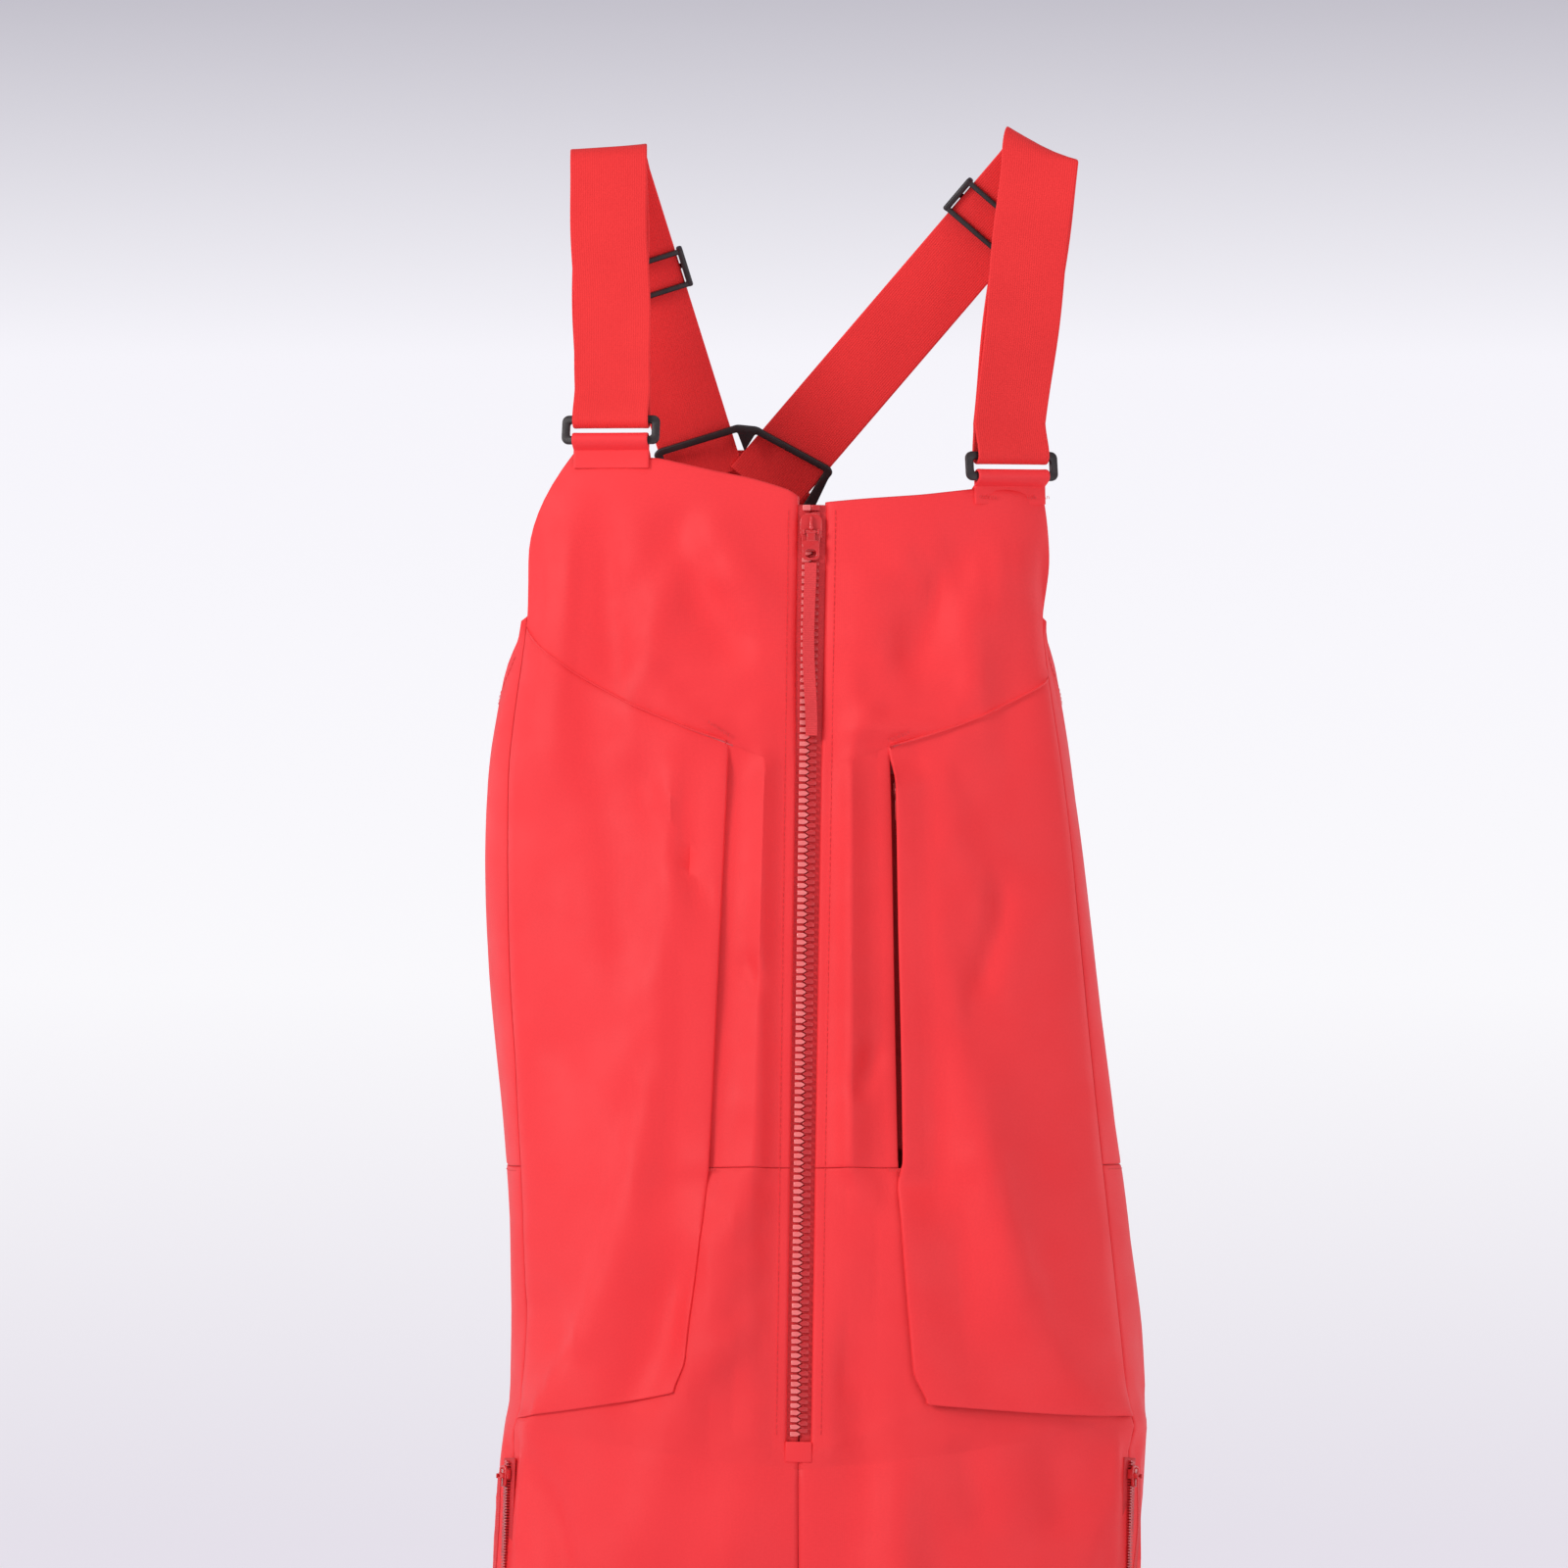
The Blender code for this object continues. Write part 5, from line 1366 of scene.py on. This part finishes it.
def tooth(side):
    """One moulded tooth: a body on the tape and a pointed head past the middle line."""
    shape = bmesh.new()
    outline = [(0.0043, -0.0011), (0.0043, 0.0011), (0.0012, 0.00115), (0.0002, 0.00075), (-0.0007, 0.0),
               (0.0002, -0.00075), (0.0012, -0.00115)]
    front = [shape.verts.new((side * x, 0.0004, z)) for x, z in outline]
    face = shape.faces.new(front)
    made = bmesh.ops.extrude_face_region(shape, geom=[face])["geom"]
    moving = [part for part in made if isinstance(part, bmesh.types.BMVert)]
    bmesh.ops.translate(shape, verts=moving, vec=(0, 0.0016, 0))
    rim = [edge for edge in shape.edges if all(vert.co.y < 0.0005 for vert in edge.verts)]
    bmesh.ops.bevel(shape, geom=rim, offset=0.0003, segments=2, profile=0.5, affect="EDGES")
    low, high = mirrored(side, 0.0028, 0.0040)
    add_block(shape, (low, 0.0010, -0.0007), (high, 0.0027, 0.0007), 0.0002)
    return shape


def teeth_row(name, node, side, length, material, place):
    """One row of moulded teeth, half a pitch apart from the other row."""
    shape = bmesh.new()
    single = bpy.data.meshes.new("tooth")
    source = tooth(side)
    bmesh.ops.recalc_face_normals(source, faces=source.faces)
    source.to_mesh(single)
    source.free()
    offset = 0.0 if side == LEFT else TOOTH_PITCH / 2
    count = int((length - STOP_ROOM - TACK_ROOM) / TOOTH_PITCH)
    for number in range(count):
        first = len(shape.verts)
        shape.from_mesh(single)
        shape.verts.ensure_lookup_table()
        down = -STOP_ROOM - offset - 0.0012 - number * TOOTH_PITCH
        bmesh.ops.translate(shape, verts=shape.verts[first:], vec=(0, 0, down))
    bpy.data.meshes.remove(single)
    mesh = bpy.data.meshes.new(name)
    shape.to_mesh(mesh)
    shape.free()
    put(name, mesh, place, material, "zip_teeth", node)


def slider_mesh(name, half_width, half_length, ear_in, ear_out, front):
    """A slider: a shield-shaped plate, side flanges, a crown along the middle and two ears for the pull."""
    shape = bmesh.new()
    waist = half_width * 0.80
    half = [(half_width * 0.62, half_length), (half_width, half_length * 0.66),
            (half_width * 0.98, half_length * 0.15), (waist, -half_length * 0.45),
            (waist * 0.94, -half_length)]
    outline = half + [(-x, z) for x, z in reversed(half)]
    add_plate(shape, soften(outline, half_width * 0.4), [], front, 0.0, abs(front) * 0.3)
    for end in (-1, 1):
        low, high = mirrored(end, half_width * 0.84, half_width * 0.98)
        add_block(shape, (low, -0.0004, -half_length * 0.3), (high, 0.0019, half_length * 0.62), 0.0003)
        low, high = mirrored(end, ear_in, ear_out)
        add_block(shape, (low, PULL_AXIS_Y - 0.0009, -0.0012), (high, front * 0.7, 0.0012), 0.0003)
    top, low_y = half_length * 0.82, front - 0.0012
    crown = [Vector((0, front * 0.6, top)), Vector((0, low_y, top * 0.85)), Vector((0, low_y, top * 0.35)),
             Vector((0, low_y - 0.0002, top * 0.22)), Vector((0, front * 0.6, top * 0.16))]
    add_rod(shape, crown, half_width * 0.17)
    bmesh.ops.create_uvsphere(shape, u_segments=12, v_segments=8, radius=half_width * 0.26,
                              matrix=Matrix.Translation((0, low_y, top * 0.28)))
    return to_mesh(name, shape)


def pull_mesh(name, half_width, length, barrel, window):
    """A pull: a barrel between the ears, a neck and a rounded tab."""
    shape = bmesh.new()
    add_rod(shape, [Vector((-barrel, 0, 0)), Vector((0, 0, 0)), Vector((barrel, 0, 0))], 0.0008, 12)
    add_block(shape, (-barrel * 0.8, -0.0005, -0.0050), (barrel * 0.8, 0.0005, -0.0001), 0.0003)
    outline = rounded(2 * half_width, length - 0.001, half_width * 0.55, centre=(0, -length / 2 - 0.0035))
    holes = [rounded(1.25 * half_width, length * 0.38, length * 0.17, centre=(0, -length * 0.66 - 0.0035))]
    add_plate(shape, outline, holes if window else [], -0.00065, 0.00065, 0.0003)
    return to_mesh(name, shape)


def limp_ribbon(name, node, on_body, place, ribbon, thickness=0.0007):
    """A ribbon folded double through its pull, hanging with a slow sway."""
    width, length, sway = ribbon
    centres, widths = [], []
    for step in range(61):
        share = step / 60
        x = sway * math.sin(math.pi * 1.6 * share) * share
        y = -0.0006 * math.sin(math.pi * share)
        centres.append(Vector((x, y, -0.0006 - (length - 0.0006) * share)))
        twist = 0.30 * math.sin(math.pi * share * 1.3)
        widths.append(Vector((math.cos(twist), math.sin(twist) * 0.4, 0)) * width)
    webbing(name, node, centres, widths, ("grosgrain", "pull_ribbon"), on_body, thickness, place)


def flat_grid(width, length, columns, rows, y, start=-0.0010):
    """Rows of points over a flat strip of a zip's frame, from its top end down."""
    points = np.zeros((rows, columns, 3))
    points[..., 0] = np.linspace(*width, columns)[None, :]
    points[..., 1] = y
    points[..., 2] = np.linspace(start, -length, rows)[:, None]
    return points


def slider_and_hinge(name, node, place, body_name, shape):
    """Shows a slider at rest, and gives the place of the hinge of its pull."""
    put(name, slider_mesh(name, *shape), place, "painted", "zip_metal", node, body_name)
    return place @ Matrix.Translation((0, PULL_AXIS_Y, 0))


def front_zip_side(hand, side, place, length):
    """One side of the front zip: its teeth, its tape sewn along its middle, and its top stop."""
    # The right row and its stop take the lighter copy of the teeth colour, a painted highlight
    look = "teeth" if side == LEFT else "teeth_painted_highlight"
    teeth_row(f"front_teeth_{hand}", f"front_zip_teeth_{hand}", side, length, look, place)
    rolled_edge = TAPE_FRONT - 0.0003 * np.exp(-((np.arange(9) - 0.6) ** 2) * 1.5)
    tape = flat_grid((side * 0.0004, side * FRONT_ZIP_TAPE), length, 9, int(length / 0.004), rolled_edge)
    name = f"front_tape_{hand}"
    mesh = grid_mesh(name, tape, flip=side == RIGHT)
    made = put(name, mesh, place, "tape", "zip_tape", f"front_zip_tape_{hand}")
    thicken(made, TAPE_BACK - TAPE_FRONT, "tape")
    low, high = mirrored(side, 0.0002, 0.0043)
    mesh = block_mesh(f"front_stop_{hand}", (low, -0.0002, -0.0041), (high, 0.0021, -0.0012), 0.0005)
    put(f"front_stop_{hand}", mesh, place, look, "zip_teeth", f"front_zip_stop_{hand}")
    heights = np.linspace(-0.004, -length + 0.004, 220)
    line = [list(place @ Vector((side * 0.0112, TAPE_FRONT - 0.0001, z))) for z in heights]
    stitch_row(np.array(line), np.array([list(place.to_3x3() @ Vector((0, -1, 0)))] * 220))


def front_zip():
    """The moulded zip down the front, with its wind flap, bottom tack, slider, pull and ribbon."""
    top, bottom = (Vector((float(front_x(z)), float(front_y(z)), z)) for z in (ZIP_TOP, ZIP_BOTTOM))
    place = zip_frame(top, bottom, Vector((0, -1, 0)))
    length = (top - bottom).length
    for hand, side in SIDES.items():
        front_zip_side(hand, side, place, length)
    rows = int(length / 0.005)
    waves = WIND_FLAP_BACK + 0.0004 * np.sin(np.linspace(0, 40, rows))[:, None] ** 2
    flap = flat_grid((-WIND_FLAP_HALF, WIND_FLAP_HALF), length, 9, rows, waves)
    made = put("zip_wind_flap", grid_mesh("zip_wind_flap", flap), place, "shell", "shell_cloth", "wind_flap")
    thicken(made)
    declare(flap)
    low, high = (-0.0066, -0.0006, -length - 0.0085), (0.0064, 0.0020, -length + 0.0016)
    mesh = block_mesh("front_zip_end", low, high, 0.0006)
    put("front_zip_end", mesh, place, "shell", "shell_cloth", "front_zip_bottom_tack")

    at_rest = place @ Matrix.Translation((0, 0, FRONT_REST))
    hinge = slider_and_hinge("front_slider_body", "front_zip_slider", at_rest, "front_slider",
                             (0.0056, 0.0095, 0.0029, 0.0042, -0.0016))
    mesh = pull_mesh("front_pull_tab", 0.0043, FRONT_TAB, 0.00255, True)
    put("front_pull_tab", mesh, hinge, "painted", "zip_metal", "front_zip_pull", "front_pull")
    ribbon_place = hinge @ Matrix.Translation((0, 0, -0.0037 - FRONT_TAB))
    limp_ribbon("front_pull_ribbon", "front_zip_ribbon", "front_ribbon", ribbon_place, FRONT_RIBBON)


def side_zip(name, node, bodies, top, bottom, away, ribbon):
    """A narrow coil zip: its chain of small teeth on a tape, slider and pull."""
    place = zip_frame(top, bottom, away)
    length = (top - bottom).length
    kind = SIDE_ZIP
    rows = int(length / 0.003)
    tape = flat_grid((-kind["tape"], kind["tape"]), length + 0.0010, 9, rows, TAPE_FRONT, 0.0010)
    made = put(f"{name}_tape", grid_mesh(f"{name}_tape", tape), place, "tape", "zip_tape")
    thicken(made, TAPE_BACK - TAPE_FRONT, "tape")
    shape = bmesh.new()
    pitch = kind["pitch"]
    for number in range(int(length / pitch)):
        z = -pitch / 2 - number * pitch
        for end, drop in ((-1, 0.0), (1, pitch / 2)):
            low, high = mirrored(end, -0.0003, kind["ridge"])
            add_block(shape, (low, 0.0005, z - drop - 0.0004), (high, TAPE_FRONT, z - drop + 0.0003))
    put(f"{name}_coil", to_mesh(f"{name}_coil", shape), place, "teeth", "zip_teeth", node)
    at_rest = place @ Matrix.Translation((0, 0, SIDE_REST))
    hinge = slider_and_hinge(f"{name}_slider_body", f"{node}_slider", at_rest, bodies[0],
                             (kind["plate"], kind["length"] / 2, 0.0016, 0.00235, -0.0014))
    if ribbon:
        limp_ribbon(f"{name}_ribbon", f"{node}_pull", bodies[1], hinge, ribbon, 0.0008)
    else:
        mesh = pull_mesh(f"{name}_tab", 0.0024, 0.0120, 0.0013, False)
        put(f"{name}_tab", mesh, hinge, "painted", "zip_metal", f"{node}_pull", bodies[1])


def joint_axis(name):
    """The direction of one of the frame's joints."""
    return Vector(next(joint["axis"] for joint in frame["joints"] if joint["name"] == name))


def chain_line(node, slide):
    """A side zip's top and bottom, read from its chain's box and its slider's travel."""
    low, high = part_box(node)
    down = joint_axis(slide).normalized()
    middle = (low + high) / 2
    half = (high.z - low.z) / 2 / abs(down.z) - 0.0010
    return middle - down * half, middle + down * half


def mesh_outward(node, side):
    """The way a side zip faces: its widest flat faces turned from the garment."""
    mesh = frame["nodes"][node].data
    total = Vector((0, 0, 0))
    best = 0.0
    for face in mesh.polygons:
        if face.area > best * 1.01 and face.normal.dot(Vector((side, -0.3, 0))) > 0:
            best, total = face.area, face.normal.copy()
    return total


# ---- camera, light and floor ----

# (name, place, size, power, color), each turned to the middle of the garment
LIGHTS = [
    ("key", (-2.3, -1.9, 0.9), 1.3, 50, (1, 0.985, 0.98)),
    ("fill", (2.0, -2.6, 0.0), 2.4, 21, (0.97, 0.97, 1.0)),
    ("top", (0.2, -1.0, 1.9), 1.4, 10, (1, 1, 1)),
    ("rim_left", (-1.7, 0.7, -0.2), 1.2, 5, (1, 0.98, 1)),
    ("rim_right", (1.7, 0.7, -0.2), 1.2, 5, (1, 0.98, 1)),
]
BACKDROP_HEIGHTS = (-2.25, 1.55)
# (share of those heights, color) of the painted glow; the dimmer grey above and lilac below are painted shade
BACKDROP_COLORS = [
    (0.0, (0.64, 0.58, 0.69, 1)),
    (0.42, (0.97, 0.965, 0.99, 1)),
    (0.70, (0.93, 0.92, 0.97, 1)),
    (1.0, (0.22, 0.20, 0.27, 1)),
]


def set_camera():
    """A long lens, level with the middle of the picture."""
    camera_data = bpy.data.cameras.new("camera")
    camera = bpy.data.objects.new("camera", camera_data)
    bpy.context.scene.collection.objects.link(camera)
    away, seen_width, garment_y = 7.0, 0.7736, -0.030
    camera.location = (-0.0104, garment_y - away, -0.3167)
    camera.rotation_euler = (math.radians(90), 0, 0)
    camera_data.sensor_width = 36
    camera_data.lens = 36 * away / seen_width
    camera_data.clip_end = 60
    bpy.context.scene.camera = camera


def set_lights():
    """A pale world, a key and a fill in front, and weak lights from the top and the back."""
    world = bpy.data.worlds.new("studio")
    world.use_nodes = True
    world.node_tree.nodes["Background"].inputs["Color"].default_value = (0.93, 0.91, 0.97, 1)
    world.node_tree.nodes["Background"].inputs["Strength"].default_value = 0.30
    bpy.context.scene.world = world
    bpy.context.scene.view_settings.view_transform = "Standard"
    for name, place, size, power, color in LIGHTS:
        data = bpy.data.lights.new(name, "AREA")
        data.shape = "DISK"
        data.size = size
        data.energy = power
        data.color = color
        lamp = bpy.data.objects.new(name, data)
        lamp.location = place
        lamp.rotation_euler = (Vector((0, 0, -0.5)) - Vector(place)).to_track_quat("-Z", "Y").to_euler()
        bpy.context.scene.collection.objects.link(lamp)


def backdrop_paper():
    """Paper that glows in bands by height, a painted glow: white behind the garment, with grey above and
    lilac below as painted shade.
    """
    made, tree, shader = new_material("studio_paper", (0.30, 0.30, 0.31), 0.9)
    split = tree.nodes.new("ShaderNodeSeparateXYZ")
    tree.links.new(cloth_places(tree)[1], split.inputs["Vector"])
    ramp = tree.nodes.new("ShaderNodeValToRGB")
    tree.links.new(map_range(tree, split.outputs["Z"], *BACKDROP_HEIGHTS), ramp.inputs["Fac"])
    first, last = ramp.color_ramp.elements
    first.color, last.color = BACKDROP_COLORS[0][1], BACKDROP_COLORS[-1][1]
    for place, color in BACKDROP_COLORS[1:-1]:
        ramp.color_ramp.elements.new(place).color = color
    dim = tree.nodes.new("ShaderNodeVectorMath")
    dim.operation = "SCALE"
    dim.inputs["Scale"].default_value = 0.12
    tree.links.new(ramp.outputs["Color"], dim.inputs[0])
    tree.links.new(dim.outputs["Vector"], shader.inputs["Base Color"])
    tree.links.new(ramp.outputs["Color"], shader.inputs["Emission Color"])
    shader.inputs["Emission Strength"].default_value = 0.92
    return made


def set_backdrop():
    """A floor that bends up into a far wall."""
    floor_z, wall_y, bend, bend_steps = HEM - 0.04, 17.0, 1.5, 12
    profile = [(-20.0, floor_z), (wall_y - bend, floor_z)]
    for step in range(1, bend_steps + 1):
        angle = math.pi / 2 * step / bend_steps
        profile.append((wall_y - bend + bend * math.sin(angle), floor_z + bend - bend * math.cos(angle)))
    profile.append((wall_y, 20.0))
    points = np.array([[(x, y, z) for x in (-80.0, 80.0)] for y, z in profile])
    mesh = grid_mesh("studio_floor", points, flip=True)
    mesh.shade_smooth()
    floor = bpy.data.objects.new("studio_floor", mesh)
    bpy.context.scene.collection.objects.link(floor)
    mesh.materials.append(backdrop_paper())


# ---- inner pieces and the ankles ----

def pocket_bag(hand, side):
    """The mesh bag behind the pocket panel, round at its foot."""
    z = np.linspace(-0.325, -0.560, 50)
    shares = np.linspace(0, 1, 26)[None, :]
    start, end = pocket_u(side, z, POCKET_ZIP_AWAY + 0.010)[:, None], (seam_u(z) - 0.030)[:, None]
    u = start * (1 - shares) + end * shares
    rounding = 0.02 * ease(-0.53, -0.56, z)[:, None] * (2 * shares - 1)
    places = np.stack([u - rounding, np.broadcast_to(z[:, None], u.shape)], -1)
    points = cloth(side, places[..., 0], places[..., 1], -POCKET_BAG_INSET)
    sheet_over(f"pocket_lining_{hand}", f"pocket_bag_{hand}", side, points,
               ("mesh", "lining_mesh"), LINING, "mesh")


def scuff_guard(hand, side):
    """The tough patch on the inside of the ankle, with a double row of stitches round its edge."""
    heights = np.concatenate([np.arange(SCUFF_TOP, HEM, -GRID), [HEM]])
    half = stations(SCUFF_HALF_U, heights)
    u = half[:, None] * (2 * steps_to(0.15)[None, :] - 1)
    z = np.broadcast_to(heights[:, None], u.shape)
    points = cloth(side, np.mod(u, 1.0), z, SCUFF_OUT + turned(u.shape, depth=0.0008))
    sheet_over(f"ankle_guard_{hand}", f"scuff_guard_{hand}", side, points,
               ("scuff", "scuff_cloth"), 0.0010, "scuff")
    for step_in in (0.0024, 0.0060):
        lines = [(end * half * (1 - step_in / 0.10), heights) for end in (-1, 1)]
        lines.append((np.linspace(-0.052, 0.052, 40), np.full(40, SCUFF_TOP - step_in)))
        for line_u, line_z in lines:
            line_u = np.mod(line_u, 1.0)
            stitch_row(cloth(side, line_u, line_z, SCUFF_OUT), outward(side, line_u, line_z))
    sew(f"ankle_guard_stitches_{hand}")


def gaiter(hand, side):
    """The snow gaiter, gathered on an elastic at its foot and sewn into the leg at its top."""
    z = np.arange(GAITER_TOP, HEM + 0.0195, -0.0045)[:, None]
    u = np.linspace(0, 1, 150, endpoint=False)[None, :]
    gather = ease(-1.42, -1.50, z)
    pleats = 0.0016 * np.sin(2 * np.pi * 34 * u) * gather
    slack = 0.0022 * np.sin(2 * np.pi * 5 * u + 30 * z) * (1 - gather)
    points = cloth(side, u, z, pleats + slack - GAITER_INSET - 0.0006 * gather)
    sheet_over(f"snow_gaiter_{hand}", f"gaiter_{hand}", side, points,
               ("gaiter", "gaiter_cloth"), 0.0007, "gaiter", wrap=True)
    band_z = np.linspace(HEM + 0.036, HEM + 0.0205, 6)[:, None]
    points = cloth(side, u, band_z, -GAITER_INSET - 0.0028)
    name = f"gaiter_elastic_{hand}"
    mesh = grid_mesh(name, points, flip=side == RIGHT, wrap=True)
    elastic = show(name, mesh, "gaiter_elastic", "gaiter_cloth")
    thicken(elastic, 0.0012, "gaiter_elastic")


def gaiter_hook(hand, side):
    """The bent wire hook for a boot lace, on a short tape below the front of the gaiter."""
    place = Matrix.Translation(Vector(cloth(side, 0.25, HEM + 0.020, -GAITER_INSET - 0.0001)))
    half = [(-0.0040, 0, -0.0012), (-0.0040, 0, -0.0045), (-0.0012, 0, -0.0062), (-0.0010, 0, -0.0120),
            (-0.0008, 0.0008, -0.0140), (-0.0004, 0.0030, -0.0146)]
    wire = half + [(-x, y, z) for x, y, z in reversed(half)] + [(-0.0036, 0, -0.0012)]
    shape = bmesh.new()
    add_rod(shape, [Vector(point) for point in wire], 0.00045, 8)
    name = f"lace_hook_{hand}"
    put(name, to_mesh(name, shape), place, "steel", "hook_metal", f"gaiter_hook_{hand}")
    name = f"lace_hook_tape_{hand}"
    mesh = block_mesh(name, (-0.0034, -0.0009, -0.0022), (0.0034, 0.0009, 0.0080), 0.0004)
    put(name, mesh, place, "gaiter_elastic", "gaiter_cloth")


# ---- the garment ----

def seam_tapes(hand, side):
    """The tapes over the seams: side, yoke, waist, and the centre and inner leg seams."""
    inner_z, side_z = YOKE_SEAM_INNER_Z[side], YOKE_SEAM_SIDE_Z[side]
    z_side = np.arange(SIDE_SEAM_TOP - 0.020, HEM + 0.004, -0.008)
    tape_beside(f"seam_tape_side_{hand}", side, seam_u(z_side), z_side, 0.013, 0)
    yoke_u = np.linspace(float(seam_u(side_z)) - 0.02, float(pocket_u(side, inner_z)) + 0.02, 24)
    tape_beside(f"seam_tape_yoke_{hand}", side, yoke_u, np.linspace(side_z, inner_z, 24) - 0.001, 0, 0.007)
    waist_u = np.linspace(float(u_at(side, 0.020, WAIST)), float(pocket_u(side, WAIST, -0.002)), 12)
    tape_beside(f"seam_tape_waist_{hand}", side, waist_u, WAIST, 0, 0.007)
    back_u = np.linspace(float(seam_u(WAIST)) + 0.01, 0.998, 40)
    tape_beside(f"seam_tape_back_waist_{hand}", side, back_u, WAIST, 0, 0.007)
    for part, first, last, top in (("front", 0.0, 0.0100, ZIP_BOTTOM - 0.014), ("back", 1.0, 0.9900, WAIST)):
        z = np.arange(top, HEM + 0.004, -0.008)[:, None]
        u = np.linspace(first, last, 5)[None, :]
        seam_tape(f"seam_tape_{part}_{hand}", side, *np.broadcast_arrays(u, z))


def seams_and_stitches(hand, side):
    """Seam tapes on the inside, and the stitched lines and bar tacks that show."""
    seam_tapes(hand, side)
    z = np.linspace(ZIP_TOP - 0.004, ZIP_BOTTOM + 0.004, 120)
    stitch_line(side, u_at(side, stations(PLACKET_EDGE[side], z) + 0.0052, z), z)
    for first, last in ((0.004, 0.40), (0.47, 0.996)):
        stitch_line(side, np.linspace(first, last, 60), HEM + 0.020)
    u = np.linspace(0.40, 0.998, 60)
    stitch_line(side, u, np.interp(u, *zip(*BACK_EDGE)) - 0.012)
    stitch_line(side, np.linspace(0.395, 0.995, 60), WAIST - 0.0022)
    u = np.linspace(0.12, 0.40, 30)
    stitch_line(side, u, KNEE + 0.03 + 0.02 * np.cos(2 * np.pi * u))
    x_tab = abs(RING_X[side] - float(front_x(RING_Z[side])))
    for shift in (-0.0130, 0.0130):
        bar_tack(side, x_tab + shift, RING_Z[side] - 0.0152, 0.0105, out=0.0006)
    inner_z = YOKE_SEAM_INNER_Z[side]
    slope = (YOKE_SEAM_SIDE_Z[side] - inner_z) / 0.085
    top_x, waist_x = float(stations(POCKET_X, inner_z)), float(stations(POCKET_X, WAIST))
    bar_tack(side, top_x + 0.0050, inner_z + 0.0020 + 0.0050 * slope, 0.0095, slope, out=0.0022)
    bar_tack(side, waist_x + 0.0030, WAIST - 0.0010, 0.0120, out=0.0018)
    sew(f"stitching_{hand}")


def build():
    """Puts up the studio and builds every piece in its order."""
    set_camera()
    set_lights()
    set_backdrop()
    settle()
    for hand, side in SIDES.items():
        ring_tab(hand, side)
        shoulder_strap(hand, side)
        ring_loop(hand, side)
        adjuster(hand, side)
    back_yoke()
    back_band()
    sew("back_elastic_stitches")
    front_zip()
    sew("zip_tape_stitches")
    for hand, side in SIDES.items():
        chest_panel(hand, side)
        pocket_panel(hand, side)
        leg_front(hand, side)
    back_panels()
    for hand, side in SIDES.items():
        pocket_bag(hand, side)
        scuff_guard(hand, side)
        gaiter(hand, side)
        gaiter_hook(hand, side)
        seams_and_stitches(hand, side)
        for kind, ribbon in (("vent", VENT_RIBBON), ("pocket", None)):
            node = f"{kind}_zip_{hand}"
            top, bottom = chain_line(node, f"{kind}_zip_slide_{hand}")
            bodies = (f"{kind}_slider_{hand}", f"{kind}_pull_{hand}")
            side_zip(f"{kind}_{hand}", node, bodies, top, bottom, mesh_outward(node, side), ribbon)


build()
